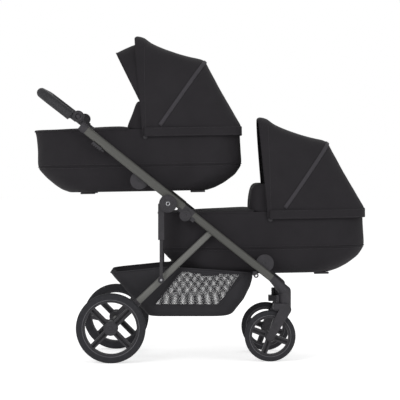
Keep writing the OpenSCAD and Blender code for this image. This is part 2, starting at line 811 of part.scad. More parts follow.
// Carrycot shells: padded tubs that narrow below a seam, with lugs, hood pins and feet
// Each row: height, reach to the foot, reach to the head and half width, as shares of the cot's sizes
shell_shares = [[0, 0.665, 0.66, 0.74], [0.046, 0.74, 0.745, 0.84], [0.125, 0.81, 0.835, 0.9],
    [0.25, 0.895, 0.94, 0.955], [0.4, 0.975, 0.995, 0.99], [0.7, 0.98, 1, 1], [1, 1, 0.995, 1]];
cot_round_share = 0.75;
lug_reach = 7;
hood_pivot_reach = 34;
hood_pivot_drop = 31;
hood_pivot_z = cot_h - hood_pivot_drop;
hood_pin_r = 3;
foot_len = 60;
foot_w = 24;
foot_t = 7;
foot_reach_shares = [-0.485, 0.57];
floor_t = 14;
lug_turned = [lug_reach*cos(cot_slope) - lug_z*sin(cot_slope),
    lug_reach*sin(cot_slope) + lug_z*cos(cot_slope)];
upper_cot = upper_seat - lug_turned;
lower_cot = lower_seat - lug_turned;
module on_cot(p) at_point(p) rotate([0, -cot_slope, 0]) children();
function shell_ring(row, inset, z) = let (half = row[3]*cot_w/2)
    plan_ring(row[1]*cot_len/2 - inset, row[2]*cot_len/2 - inset, half - inset,
        cot_round_share*half - inset, cot_round_share*half - inset, z);
shell_last = len(shell_shares) - 1;
module shell_body() {
    loft(concat(
        [for (row = shell_shares) shell_ring(row, 0, row[0]*cot_h)],
        [for (k = [shell_last : -1 : 2]) shell_ring(shell_shares[k], cot_wall, shell_shares[k][0]*cot_h)],
        [shell_ring(shell_shares[1], cot_wall, floor_t)]));
}
module shell(p) {
    color(cloth_black) on_cot(p) {
        shell_body();
        left_and_right() {
            translate([hood_pivot_reach, cot_w/2 - cot_wall/2, hood_pivot_z]) rotate([-90, 0, 0])
                cylinder(r = hood_pin_r, h = cloth_in - cot_w/2 + cot_wall/2 - bow_gap);
            for (share = foot_reach_shares) translate([share*cot_len/2 - foot_len/2, cot_w/4, -foot_t])
                cube([foot_len, foot_w, foot_t + overrun]);
        }
    }
    color(plastic_black) left_and_right() on_cot(p)
        cross_bar([lug_reach, lug_z], lug_r, shell_shares[2][3]*cot_w/2, adaptor_out - seat_gap);
}
module upper_shell() shell(upper_cot);
module lower_shell() shell(lower_cot);

// Mattresses: crowned pads whose sides draw in at the top and bottom
// Each row: height, and how far its ring lies inside the widest one, as shares of the thickness
mattress_shares = [[0, 0.45], [0.25, 0.1], [0.5, 0], [0.75, 0.12], [0.95, 0.6], [1.08, 1.8]];
module mattress(p) {
    inset = cot_wall + 2*seat_gap + side_gap;
    color(mattress_grey) on_cot(p) loft([for (row = mattress_shares)
        shell_ring(shell_shares[1], inset + row[1]*mattress_t, floor_t + seat_gap + row[0]*mattress_t)]);
}
module upper_mattress() mattress(upper_cot);
module lower_mattress() mattress(lower_cot);

// Aprons: covers over the foot end, crowned a little above the rim
apron_t = 5;
apron_crown = 11;
apron_back = 30;
apron_round = 20;
apron_lean_share = 0.06;
// Each row: share of the crown's height, and inset from the rim as a share of the half width
apron_shares = [[0, 0.04], [0.35, 0.1], [0.75, 0.35], [1, 0.7]];
function apron_ring(inset, z) = plan_ring(cot_len/2 - inset, -apron_back - apron_lean_share*inset,
    cot_w/2 - inset, cot_round_share*cot_w/2 - inset/2, apron_round, z);
module apron(p) {
    color(cloth_black) on_cot(p) translate([0, 0, cot_h + seat_gap]) loft(concat(
        [apron_ring(0, 0)],
        [for (row = apron_shares) apron_ring(row[1]*cot_w/2, apron_t + row[0]*apron_crown)]));
}
module upper_apron() apron(upper_cot);
module lower_apron() apron(lower_cot);

// Wind flaps: stand up from the rear edge of the apron's crown, inside the hood's mouth
flap_h = 92;
flap_t = 5;
flap_inset = 18;
flap_base_half = cot_w/2 - flap_inset;
flap_base_x = -apron_back - apron_lean_share*apron_shares[len(apron_shares) - 1][1]*cot_w/2;
flap_base_z = cot_h + apron_t + apron_crown + 2*seat_gap;
flap_top_share = 0.8;
upper_flap_slope = 69;
lower_flap_slope = 80;
module wind_flap(p, slope) {
    color(cloth_black) on_cot(p)
        translate([flap_base_x, 0, flap_base_z]) rotate([0, -slope, 0]) translate([0, 0, -flap_t])
            rotate([0, 0, 90]) linear_extrude(flap_t) polygon([[-flap_base_half, 0], [flap_base_half, 0],
                [flap_top_share*flap_base_half, -flap_h], [-flap_top_share*flap_base_half, -flap_h]]);
}
module upper_wind_flap() wind_flap(upper_cot, upper_flap_slope);
module lower_wind_flap() wind_flap(lower_cot, lower_flap_slope);

// Hoods: arches that all spring from one pivot on each side of the carrycot
arch_square_share = 0.74;
hem_square_share = 0.4;
arch_steps = 24;
arch_start_slope = 0.15;
function along_arch(k, from = arch_start_slope) = from + (180 - 2*from)*(1 - cos(180*k/arch_steps))/2;
function arch_side(a, share = arch_square_share) = sign(cos(a))*pow(abs(cos(a)), share);
function arch_up(a, share = arch_square_share) = pow(sin(a), share);
function arch_point(a, half, reach, dir) =
    [reach*arch_up(a)*cos(dir), half*arch_side(a), reach*arch_up(a)*sin(dir)];
module on_hood(p) on_cot(p) translate([hood_pivot_reach, 0, hood_pivot_z]) children();
bow_eye_r = 9;
function bow_outline(half, reach, drop) = [for (k = [0 : arch_steps])
    let (a = along_arch(k))
    [half*arch_side(a), reach*arch_up(a) - (k%arch_steps == 0 ? drop : 0)]];
module bow(p, inner, reach, dir) {
    outer = inner + bow_t;
    color(plastic_black) on_hood(p) difference() {
        union() {
            rotate([0, -dir, 0]) rotate([0, 0, -90]) linear_extrude(bow_depth, center = true) difference() {
                polygon(bow_outline(outer, reach, 0));
                polygon(bow_outline(inner, reach - bow_t, bow_eye_r));
            }
            left_and_right() cross_bar([0, 0], bow_eye_r, inner, outer);
        }
        left_and_right() cross_bar([0, 0], hood_pin_r + run_gap, inner - overrun, outer + overrun);
    }
}
module upper_mid_bow() bow(upper_cot, mid_bow_in, mid_bow_len, mid_bow_slope);
module lower_mid_bow() bow(lower_cot, mid_bow_in, mid_bow_len, mid_bow_slope);
module upper_front_bow() bow(upper_cot, front_bow_in, front_bow_len, front_bow_slope);
module lower_front_bow() bow(lower_cot, front_bow_in, front_bow_len, front_bow_slope);

// Hood covers: one curved sheet over the bows, from the front bow back to a hem round the carrycot's rim
panel_steps = 6;
front_ease_h = 7.5;
mid_ease_h = 6;
rear_swell_h = 4;
hem_gap = 5;
hem_over_rim = 18;
hem_h = 34;
hem_len = cot_len/2 - hood_pivot_reach + hem_gap + cloth_t;
hem_top = hood_pivot_drop + hem_over_rim;
cover_front_slope = front_bow_slope + atan(bow_depth/2/front_bow_len);
cover_n = arch_steps + 1;
cover_rows = 2*panel_steps + 2;
function mix(a, b, t) = a + (b - a)*t;
function front_arch(a, inset) =
    arch_point(a, cloth_out - inset, front_bow_len + front_ease_h - inset, cover_front_slope);
function mid_arch(a, inset) =
    arch_point(a, cloth_out - inset, mid_bow_len + mid_ease_h - inset, mid_bow_slope);
function hem_arch(a, inset, rise) = let (up = arch_up(a, hem_square_share))
    [(hem_len - inset)*up, (cloth_out - inset)*arch_side(a, hem_square_share), rise*up];
function pushed(p, dist, dir) = p + dist*[cos(dir), 0, sin(dir)];
function front_panel(a, t, inset) = pushed(mix(front_arch(a, inset), mid_arch(a, inset), t),
    -hood_dip_h*pow(sin(180*t), 2)*pow(sin(a), 2), (front_bow_slope + mid_bow_slope)/2);
function rear_panel(a, t, inset) = pushed(mix(mid_arch(a, inset), hem_arch(a, inset, hem_top), t),
    rear_swell_h*pow(sin(180*t), 2)*pow(sin(a), 2), mid_bow_slope/2);
function cover_point(i, k, inset) = let (a = along_arch(k))
    i < panel_steps ? front_panel(a, i/panel_steps, inset) :
    i < cover_rows - 1 ? rear_panel(a, i/panel_steps - 1, inset) :
    hem_arch(a, inset, hem_top - hem_h);
function sheet_faces(nu, nv) =
    let (m = nu*nv)
    concat(
        [for (i = [0 : nv - 2]) for (j = [0 : nu - 2]) let (a = i*nu + j)
            each [[a, a + 1, a + nu + 1], [a, a + nu + 1, a + nu],
                  [m + a, m + a + nu + 1, m + a + 1], [m + a, m + a + nu, m + a + nu + 1]]],
        [for (i = [0 : nv - 2]) let (a = i*nu, b = i*nu + nu - 1)
            each [[a, a + nu, m + a + nu], [a, m + a + nu, m + a],
                  [b, m + b + nu, b + nu], [b, m + b, m + b + nu]]],
        [for (j = [0 : nu - 2]) let (a = j, b = (nv - 1)*nu + j)
            each [[a, m + a + 1, a + 1], [a, m + a, m + a + 1],
                  [b, b + 1, m + b + 1], [b, m + b + 1, m + b]]]);
module hood_cover(p) {
    color(cloth_black) on_hood(p) polyhedron(
        points = [for (inset = [0, cloth_t]) for (i = [0 : cover_rows - 1]) for (k = [0 : arch_steps])
            cover_point(i, k, inset)],
        faces = sheet_faces(cover_n, cover_rows));
}
module upper_hood_cover() hood_cover(upper_cot);
module lower_hood_cover() hood_cover(lower_cot);

// Visor: a peak of cloth that stands forward of the upper hood's front edge
visor_rows = 4;
visor_start_slope = 15;
visor_fall_share = 0.5;
visor_gap = 2.5;
visor_low = arch_up(visor_start_slope);
function visor_point(i, k, inset) =
    let (a = along_arch(k, visor_start_slope),
         t = i/visor_rows,
         reach = visor_reach*(arch_up(a) - visor_low)/(1 - visor_low))
    pushed(front_arch(a, inset), -visor_drop*pow(arch_up(a), 2), cover_front_slope)
        - [visor_gap + t*reach, 0, visor_fall_share*t*t*reach];
module upper_visor() {
    color(cloth_black) on_hood(upper_cot) polyhedron(
        points = [for (inset = [0, cloth_t]) for (i = [0 : visor_rows]) for (k = [0 : arch_steps])
            visor_point(i, k, inset)],
        faces = [for (f = sheet_faces(cover_n, visor_rows + 1)) [f[0], f[2], f[1]]]);
}

// Basket: an open tub of cloth and net, hung on hooks from the legs and the front tubes
basket_wall = 3;
basket_w = 2*(leg_in - basket_side_gap);
// Each row: height, reach back, reach forward and half width, as shares of the basket's sizes
basket_shares = [[0, 0.44, 0.6, 0.74], [0.1, 0.52, 0.74, 0.84], [0.55, 0.78, 0.93, 0.94], [1, 1, 1, 1]];
basket_round_share = 0.25;
hook_w = 16;
hook_t = 12;
function basket_ring(row, inset, z) = let (r = basket_round_share*basket_w/2 - inset)
    plan_ring(row[1]*basket_len/2 - inset, row[2]*basket_len/2 - inset, row[3]*basket_w/2 - inset, r, r, z);
basket_last = len(basket_shares) - 1;
basket_top = lower_cot[1] - basket_gap;
basket_z = basket_top - basket_h;
leg_hook_x = leg_point[0] - (leg_point[1] - basket_top)/tan(leg_slope);
tube_under = front_tube_depth/2/cos(frame_slope) + seat_gap;
tube_hook_z = basket_top + hook_rise;
tube_hook_x = (frame_mid_h - tube_under - tube_hook_z)/tan(frame_slope) - hook_w;
basket_x = tube_hook_x - seat_gap - basket_len/2;
tube_hook_y = (1 - basket_round_share)*basket_w/2 - hook_w;
module basket() {
    color(mesh_grey) {
        translate([basket_x, 0, basket_z]) loft(concat(
            [for (row = basket_shares) basket_ring(row, 0, row[0]*basket_h)],
            [for (k = [basket_last : -1 : 1])
                basket_ring(basket_shares[k], basket_wall, basket_shares[k][0]*basket_h)],
            [basket_ring(basket_shares[0], basket_wall, basket_wall)]));
        left_and_right() {
            block([leg_hook_x - hook_w/2, leg_hook_x + hook_w/2], [basket_w/2 + seat_gap, leg_in - seat_gap],
                [basket_top - hook_t, basket_top]);
            block([tube_hook_x, tube_hook_x + hook_w], [tube_hook_y, tube_out],
                [basket_top - hook_t, basket_top]);
            block([tube_hook_x, tube_hook_x + hook_w], [tube_in, tube_out],
                [basket_top - overrun, tube_hook_z]);
        }
    }
}

front_tube_left();
front_tube_right();
front_cross_tube();
front_elbow_left();
front_elbow_right();
fold_hubs();
lower_sockets();
basket();
handle_tube_left();
handle_tube_right();
fold_knuckles();
strut_hubs();
hub_rivets();
handle_collars();
upper_sockets();
fold_sliders();
handlebar_core();
handlebar_grip();
tilt_button_left();
tilt_button_right();
rear_leg_left();
rear_leg_right();
rear_axle();
axle_housings();
brake_pedal();
rear_tyre_left();
rear_tyre_right();
rear_rim_left();
rear_rim_right();
fork_left();
fork_right();
front_axle_left();
front_axle_right();
front_tyre_left();
front_tyre_right();
front_rim_left();
front_rim_right();
swivel_lock_left();
swivel_lock_right();
strut_sleeves();
strut_rods();
upper_adaptors();
lower_adaptors();
upper_shell();
upper_mattress();
upper_apron();
upper_wind_flap();
upper_mid_bow();
upper_front_bow();
upper_hood_cover();
upper_visor();
lower_shell();
lower_mattress();
lower_apron();
lower_wind_flap();
lower_mid_bow();
lower_front_bow();
lower_hood_cover();
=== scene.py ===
# %% [markdown]
# A twin pram: a folding frame on four wheels, with one carrycot above and another below.
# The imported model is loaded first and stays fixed. Its hard pieces (tubes, hubs, rims) keep
# their exact shapes and only get finishes, while everything sewn is made again here as cloth.

# %% Load the frame
import json
from math import atan2, cos, pi, radians, sin, tan

import bpy
import numpy as np
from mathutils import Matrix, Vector, noise

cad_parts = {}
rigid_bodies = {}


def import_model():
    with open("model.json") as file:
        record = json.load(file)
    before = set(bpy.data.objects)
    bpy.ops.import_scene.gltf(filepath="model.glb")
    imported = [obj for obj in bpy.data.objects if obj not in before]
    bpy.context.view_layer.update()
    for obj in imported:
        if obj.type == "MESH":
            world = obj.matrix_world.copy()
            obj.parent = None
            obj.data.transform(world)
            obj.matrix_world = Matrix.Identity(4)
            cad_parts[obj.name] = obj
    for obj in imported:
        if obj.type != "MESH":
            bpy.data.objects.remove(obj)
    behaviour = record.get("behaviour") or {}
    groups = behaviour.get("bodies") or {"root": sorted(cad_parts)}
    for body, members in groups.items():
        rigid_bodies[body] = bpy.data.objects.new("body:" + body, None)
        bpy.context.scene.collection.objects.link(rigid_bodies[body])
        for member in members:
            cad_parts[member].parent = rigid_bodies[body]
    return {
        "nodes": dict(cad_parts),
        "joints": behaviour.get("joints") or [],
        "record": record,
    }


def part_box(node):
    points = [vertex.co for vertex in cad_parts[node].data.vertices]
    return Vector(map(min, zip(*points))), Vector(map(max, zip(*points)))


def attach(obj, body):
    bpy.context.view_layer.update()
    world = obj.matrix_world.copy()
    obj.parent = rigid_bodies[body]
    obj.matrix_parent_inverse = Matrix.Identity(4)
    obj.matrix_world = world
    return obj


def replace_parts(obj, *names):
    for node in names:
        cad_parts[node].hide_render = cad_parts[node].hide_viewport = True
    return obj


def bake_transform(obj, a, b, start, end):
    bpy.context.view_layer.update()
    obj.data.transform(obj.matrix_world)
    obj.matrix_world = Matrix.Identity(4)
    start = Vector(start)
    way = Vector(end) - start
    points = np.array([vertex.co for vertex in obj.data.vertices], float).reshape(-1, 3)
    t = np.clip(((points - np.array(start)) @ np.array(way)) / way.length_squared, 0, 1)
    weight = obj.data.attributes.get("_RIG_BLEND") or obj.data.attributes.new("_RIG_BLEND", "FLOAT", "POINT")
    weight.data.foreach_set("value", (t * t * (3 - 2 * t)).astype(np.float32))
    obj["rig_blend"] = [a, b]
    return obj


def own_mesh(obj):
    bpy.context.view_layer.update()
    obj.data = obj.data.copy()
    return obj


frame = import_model()
nodes = frame["nodes"]
pins = {j["name"]: j.get("pos_m") for j in frame["joints"]}
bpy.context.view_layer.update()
MM = 0.001

# %% [markdown]
# The photograph is a pure side view, so the camera looks straight along +Y. How much smaller
# the far wheels look than the near ones gives its distance, and the rear wheel its lens.
# A long lens from far away keeps the pram's two sides almost on top of each other.

# %% Camera
SENSOR, FOCAL_PIXELS, IMAGE_WIDTH = 36.0, 1874, 400
# Degrees by which the camera looks down, and aside.
LOOK_DOWN, LOOK_ASIDE = 1.2229, -0.3975
view = bpy.data.cameras.new("side_view")
view.sensor_width = SENSOR
view.lens = SENSOR * FOCAL_PIXELS / IMAGE_WIDTH
camera = bpy.data.objects.new("side_view", view)
camera.location = (-0.0523, -7.8, 0.8149)
camera.rotation_euler = (radians(90 - LOOK_DOWN), 0, radians(LOOK_ASIDE))
bpy.context.scene.collection.objects.link(camera)
bpy.context.scene.camera = camera
print("lens", round(view.lens, 1), "mm")

# %% [markdown]
# The studio is plain: a pale floor, soft light from all round and three large lamps. The photo has
# a pure white ground, so camera rays that miss the pram see white, and mirror rays see it on the
# floor, while the light that falls on the pram stays at a level where a colour renders about as
# it is written.

# %% Colours, and helpers for shader nodes
def linear(code):
    """Turns an sRGB hex code into the linear colour that Blender works in."""
    parts = [int(code[i:i + 2], 16) / 255 for i in (1, 3, 5)]
    return [c / 12.92 if c <= 0.04045 else ((c + 0.055) / 1.055) ** 2.4 for c in parts] + [1.0]


def add(tree, kind, inputs=(), **settings):
    """Adds one shader node, sets its options, then fills or links its inputs."""
    made = tree.nodes.new("ShaderNode" + kind)
    for name, value in settings.items():
        setattr(made, name, value)
    for name, value in dict(inputs).items():
        if isinstance(value, bpy.types.NodeSocket):
            tree.links.new(value, made.inputs[name])
        else:
            made.inputs[name].default_value = value
    return made


def blank(name):
    """A new material with an empty node tree."""
    made = bpy.data.materials.new(name)
    made.use_nodes = True
    made.node_tree.nodes.clear()
    return made


def set_stops(ramp, *stops):
    """Sets a colour ramp's stops, each to its place and colour."""
    for stop, (place, code) in zip(ramp.color_ramp.elements, stops):
        stop.position, stop.color = place, linear(code)


# %% Studio
# The sky's light on the pram, and what lifts the floor to white where it is seen.
SKY_LIGHT, PAPER_LIFT = 0.55, 0.55
world = bpy.data.worlds.new("studio")
bpy.context.scene.world = world
world.use_nodes = True
sky = world.node_tree
sky.nodes.clear()
rays = add(sky, "LightPath")
seen = add(sky, "Math", {0: rays.outputs["Is Camera Ray"], 1: rays.outputs["Is Transmission Ray"]},
           operation="MAXIMUM")
light = add(sky, "Background", {"Color": linear("#ffffff"), "Strength": SKY_LIGHT})
white = add(sky, "Background", {"Color": linear("#ffffff"), "Strength": 1.0})
both = add(sky, "MixShader", {0: seen.outputs[0], 1: light.outputs[0], 2: white.outputs[0]})
add(sky, "OutputWorld", {"Surface": both.outputs[0]})

floor_paint = blank("white_studio_paper")
paper = floor_paint.node_tree
rays = add(paper, "LightPath")
seen = add(paper, "Math", {0: rays.outputs["Is Camera Ray"], 1: rays.outputs["Is Glossy Ray"]},
           operation="MAXIMUM")
seen = add(paper, "Math", {0: seen.outputs[0], 1: rays.outputs["Is Transmission Ray"]},
           operation="MAXIMUM")
matt = add(paper, "BsdfDiffuse", {"Color": linear("#f4f4f4")})
lift = add(paper, "Emission", {"Color": linear("#ffffff"), "Strength": PAPER_LIFT})
lifted = add(paper, "AddShader", {0: matt.outputs[0], 1: lift.outputs[0]})
both = add(paper, "MixShader", {0: seen.outputs[0], 1: matt.outputs[0], 2: lifted.outputs[0]})
add(paper, "OutputMaterial", {"Surface": both.outputs[0]})

bpy.ops.object.select_all(action="DESELECT")
bpy.ops.mesh.primitive_plane_add(size=60, location=(0, 0, 0))
floor = bpy.context.object
floor.name = "studio_floor"
floor.data.materials.append(floor_paint)

# Each lamp's name, place, width in metres and power in watts.
LAMPS = (("key", (-2.4, -4.4, 2.6), 2.6, 90), ("fill", (3.0, -3.6, 1.6), 2.6, 50),
         ("back", (0.4, 3.6, 3.2), 2.4, 25))
LAMP_TARGET = Vector((0, 0, 0.6))
for name, place, size, power in LAMPS:
    lamp = bpy.data.lights.new(name, "AREA")
    lamp.size = size
    lamp.energy = power
    lamp_object = bpy.data.objects.new(name, lamp)
    lamp_object.location = place
    aim = LAMP_TARGET - Vector(place)
    lamp_object.rotation_euler = aim.to_track_quat("-Z", "Y").to_euler()
    bpy.context.scene.collection.objects.link(lamp_object)
bpy.context.scene.view_settings.view_transform = "Standard"
print("studio ready")

# %% [markdown]
# Finishes come next. A finish starts from what the real stuff is and how its surface was made.
# The hoods and carrycots are a plain woven polyester: matt, nearly black, with a faint sheen where
# the threads stand up at grazing angles. The weave follows each piece's UV map, which is in metres,
# so the threads run along the cloth. Real threads are about 0.4 mm apart, which is finer than a
# pixel, so they are drawn at 1.6 mm to show at all.

# %% Woven polyester
# A Wave texture at this scale has one band for each unit.
ONE_BAND = 0.314


def woven(name, dark, pale, thread_mm, bump_mm, sheen):
    """A plain weave over UV in metres: two sets of threads, slow changes of shade, a soft sheen."""
    cloth = blank(name)
    tree = cloth.node_tree
    place = add(tree, "TexCoord")
    scale = add(tree, "Mapping", {"Vector": place.outputs["UV"],
                                  "Scale": (0.5 / (thread_mm * MM),) * 3})
    warp, weft = [add(tree, "TexWave", {"Vector": scale.outputs[0], "Scale": ONE_BAND,
                                        "Distortion": 0.5, "Detail": 1.0},
                      wave_type="BANDS", bands_direction=way) for way in "XY"]
    threads = add(tree, "Math", {0: warp.outputs["Fac"], 1: weft.outputs["Fac"]},
                  operation="MULTIPLY")
    slow = add(tree, "TexNoise", {"Vector": place.outputs["Object"], "Scale": 9.0,
                                  "Detail": 3.0, "Roughness": 0.55})
    shade = add(tree, "Math", {0: threads.outputs[0], 1: 0.35, 2: 0.0}, operation="MULTIPLY_ADD")
    shade = add(tree, "Math", {0: slow.outputs["Fac"], 1: 0.65, 2: shade.outputs[0]},
                operation="MULTIPLY_ADD")
    ramp = add(tree, "ValToRGB", {"Fac": shade.outputs[0]})
    set_stops(ramp, (0.15, dark), (0.75, pale))
    bump = add(tree, "Bump", {"Height": threads.outputs[0], "Strength": 0.45,
                              "Distance": bump_mm * MM})
    body = add(tree, "BsdfPrincipled", {
        "Base Color": ramp.outputs["Color"], "Normal": bump.outputs[0], "Roughness": 0.88,
        "Specular IOR Level": 0.2, "Sheen Weight": sheen, "Sheen Roughness": 0.45})
    add(tree, "OutputMaterial", {"Surface": body.outputs[0]})
    return cloth


# Hood and carrycot cloth: dense matt polyester, a warm black that lifts a little at its edges.
HOOD_CLOTH = woven("woven_black_polyester", "#211f22", "#2b292c", 1.6, 0.25, 0.02)
# Mattress cover: pale grey knitted cotton.
MATTRESS_CLOTH = woven("knitted_cotton_mattress", "#7d7c80", "#929195", 2.4, 0.3, 0.1)
# Tape over the middle bow, and the mattress piping: tighter grey webbing that catches the light.
TAPE = woven("grey_webbing_tape", "#38363a", "#434145", 1.6, 0.3, 0.05)
# Basket cloth: coarser polyester with a coated back, a shade greyer than the hoods.
BASKET_CLOTH = woven("coated_basket_polyester", "#2c2b2e", "#363538", 2.0, 0.3, 0.02)
# Net: polyester cord, a soft grey where its strands catch the light.
NET_CORD = woven("knotted_net_cord", "#38373a", "#464548", 1.6, 0.2, 0.1)
print("cloths from", HOOD_CLOTH.name, "to", NET_CORD.name)

# %% [markdown]
# The hard finishes read Object coordinates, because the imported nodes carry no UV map. The tubes are
# extruded aluminium, anodised to a grey that is slightly olive: satin, with fine draw lines along the
# slope of the tube. The joints, rims and forks are moulded black nylon with a fine spark-eroded
# grain. The tyres are foamed rubber, quite matt, and the handle is wrapped in leatherette.

# %% Hard finishes
def hard(name, dark, pale, patch_mm, grain_mm, bump_mm, roughness, metallic=0.0, specular=0.5,
         grain="TexNoise", turn=0.0, draw=(1, 1, 1)):
    """A finish on Object coordinates: slow patches of shade and gloss, and a grain for the bump."""
    finish = blank(name)
    tree = finish.node_tree
    place = add(tree, "TexCoord")
    lie = add(tree, "Mapping", {"Vector": place.outputs["Object"], "Rotation": (0, turn, 0)},
              vector_type="TEXTURE")
    lie = add(tree, "Mapping", {"Vector": lie.outputs[0], "Scale": draw})
    patches = add(tree, "TexNoise", {"Vector": lie.outputs[0], "Scale": 1 / (patch_mm * MM),
                                     "Detail": 4.0})
    grains = add(tree, grain, {"Vector": lie.outputs[0], "Scale": 1 / (grain_mm * MM)})
    ramp = add(tree, "ValToRGB", {"Fac": patches.outputs["Fac"]})
    set_stops(ramp, (0.32, dark), (0.68, pale))
    vary = add(tree, "MapRange", {"Value": patches.outputs["Fac"], "To Min": roughness - 0.06,
                                  "To Max": roughness + 0.06})
    bump = add(tree, "Bump", {"Height": grains.outputs[0], "Strength": 0.5,
                              "Distance": bump_mm * MM})
    body = add(tree, "BsdfPrincipled", {
        "Base Color": ramp.outputs["Color"], "Roughness": vary.outputs[0],
        "Normal": bump.outputs[0], "Metallic": metallic, "Specular IOR Level": specular})
    add(tree, "OutputMaterial", {"Surface": body.outputs[0]})
    return finish


# Anodised aluminium: a dyed oxide skin, satin, with draw lines 0.3 mm apart drawn at 1.5 mm. They
# are stretched along the tubes, each set at its own slope.
TUBE_SLOPE, LEG_SLOPE, DRAWN = radians(38.6), radians(-43.6), (0.03, 1, 1)
TUBE = hard("anodised_aluminium", "#4e4e4b", "#585855", 60, 1.5, 0.05, roughness=0.5,
            metallic=0.35, specular=0.4, turn=TUBE_SLOPE, draw=DRAWN)
# The legs' copy is the same aluminium painted lighter: painted light against the shade that the carrycots
# above cast on the legs.
LEG_TUBE_PAINTED_LIGHT = hard("anodised_aluminium_legs", "#5f5f5c", "#6a6a67", 60, 1.5, 0.05, roughness=0.5,
                metallic=0.35, specular=0.4, turn=LEG_SLOPE, draw=DRAWN)
# Moulded nylon: filled with glass fibre, matt from the mould's grain of about 0.6 mm, drawn at 1 mm.
NYLON = hard("moulded_black_nylon", "#2b2a2d", "#343236", 18, 1.0, 0.08,
             roughness=0.55, specular=0.3)
# Rim nylon: the same, a little glossier where hands and road polish it.
RIM_NYLON = hard("moulded_rim_nylon", "#2a292c", "#323135", 25, 1.0, 0.05,
                 roughness=0.45, specular=0.3)
# Tyre: foamed rubber with a dusty, porous skin.
TYRE = hard("foamed_rubber_tyre", "#242427", "#2d2d31", 12, 2.0, 0.15, roughness=0.8, specular=0.3)
# Leatherette: a pebble grain about 1.6 mm across, drawn at 2.4 mm, mottled where the dye is thin.
LEATHERETTE = hard("embossed_leatherette", "#232325", "#37373a", 5, 2.4, 0.3,
                   roughness=0.62, specular=0.3, grain="TexVoronoi")
# Turned steel: pins and rings, bright from the lathe.
STEEL = hard("turned_steel", "#8f8f92", "#a5a5a8", 6, 0.6, 0.02, roughness=0.35, metallic=1.0)
# Blackened steel: the front axles, oiled and nearly as dark as the plastic round them.
BLACK_STEEL = hard("blackened_steel", "#29282b", "#333236", 6, 0.6, 0.02,
                   roughness=0.4, specular=0.3)
# Rim edge: the same nylon, a little smoother, painted paler as a painted highlight
# that draws a pale line round each wheel.
RIM_EDGE_HIGHLIGHT = hard("worn_rim_edge", "#4a494d", "#58575b", 8, 1.0, 0.03, roughness=0.4, specular=0.4)
# Thread for the seams: a filament polyester, slightly glossy.
THREAD = hard("filament_thread", "#3b393c", "#4a484b", 3, 0.5, 0.05, roughness=0.6)

SLOT_FINISH = {"frame_tube": TUBE, "black_plastic": NYLON, "steel": STEEL, "tyre": TYRE,
               "leatherette": LEATHERETTE, "cloth": HOOD_CLOTH, "mattress": MATTRESS_CLOTH,
               "net": BASKET_CLOTH}
for part in frame["record"]["subparts"]:
    finish = SLOT_FINISH[part["material_slot"]]
    # The rear legs and axle take the aluminium copy with painted light.
    if part["node"].startswith("rear_leg") or part["node"] == "rear_axle":
        finish = LEG_TUBE_PAINTED_LIGHT
    if "_rim_" in part["node"]:
        finish = RIM_NYLON
    if part["node"].startswith("front_axle"):
        finish = BLACK_STEEL
    mesh = nodes[part["node"]].data
    mesh.materials.clear()
    mesh.materials.append(finish)

# %% [markdown]
# Cloth pieces are skins: rows of points that run across the piece, joined by faces. A few helpers do
# this for every sewn piece. The UV map is laid out in metres along the rows and across them, so the
# weave keeps its size. Thickness and smoothness come from Solidify and Subdivision Surface modifiers,
# which are applied at once so that the mesh holds what is seen.

# %% Helpers for skins
def only(piece):
    """Selects one piece alone, because operators act on all that is selected."""
    bpy.ops.object.select_all(action="DESELECT")
    piece.select_set(True)
    bpy.context.view_layer.objects.active = piece
    return piece


def finish_with(piece, kind, **settings):
    """Adds one modifier and applies it."""
    only(piece)
    step = piece.modifiers.new(kind.lower(), kind)
    for name, value in settings.items():
        setattr(step, name, value)
    bpy.ops.object.modifier_apply(modifier=step.name)
    return piece


def soften(piece):
    """One subdivision, the same in the view and in the render."""
    return finish_with(piece, "SUBSURF", levels=1, render_levels=1)


def thicken(piece, thickness, offset):
    """Gives a sheet its thickness, inwards (-1), outwards (1) or both ways (0), and softens it."""
    finish_with(piece, "SOLIDIFY", thickness=thickness, offset=offset)
    return soften(piece)


def piece_from(name, points, faces, finish):
    """An object with a mesh of its own."""
    mesh = bpy.data.meshes.new(name)
    mesh.from_pydata(points, [], faces)
    mesh.materials.append(finish)
    made = bpy.data.objects.new(name, mesh)
    bpy.context.scene.collection.objects.link(made)
    return made


def skin(name, rows, finish, loop=False, caps=(False, False)):
    """A mesh through rows of points, each row the same length.

    loop joins a row's ends, and caps close the end rows with strips across."""
    rows = np.array(rows, float)
    count, width = rows.shape[:2]
    points = [tuple(p) for p in rows.reshape(-1, 3)]
    across = width if loop else width - 1
    faces = [(i * width + j, i * width + (j + 1) % width,
              (i + 1) * width + (j + 1) % width, (i + 1) * width + j)
             for i in range(count - 1) for j in range(across)]
    for use, first, order in ((caps[0], 0, -1), (caps[1], (count - 1) * width, 1)):
        if use:
            strips = [(j, j + 1, width - j - 1, (width - j) % width) for j in range(width // 2)]
            faces += [tuple(dict.fromkeys(first + j for j in strip))[::order] for strip in strips]
    made = piece_from(name, points, faces, finish)
    closed = np.concatenate([rows, rows[:, :1]], 1)
    steps = np.linalg.norm(np.diff(closed, axis=1), axis=2)
    u = np.concatenate([np.zeros((count, 1)), np.cumsum(steps, 1)], 1)
    v = np.concatenate([[0], np.cumsum(np.linalg.norm(np.diff(rows, axis=0), axis=2).mean(1))])
    layer = made.data.uv_layers.new(name="cloth")
    for face in made.data.polygons:
        corner = [divmod(p, width) for p in face.vertices]
        capped = len({c[0] for c in corner}) == 1
        wraps = loop and {0, width - 1} <= {c[1] for c in corner}
        for at, (i, j) in zip(face.loop_indices, corner):
            column = j + width if wraps and j == 0 else j
            layer.data[at].uv = rows[i, j, :2] if capped else (u[i][column], v[i])
    only(made)
    bpy.ops.object.shade_smooth()
    return made


def area_of(piece):
    """The area of all faces, in square metres."""
    return sum(face.area for face in piece.data.polygons)


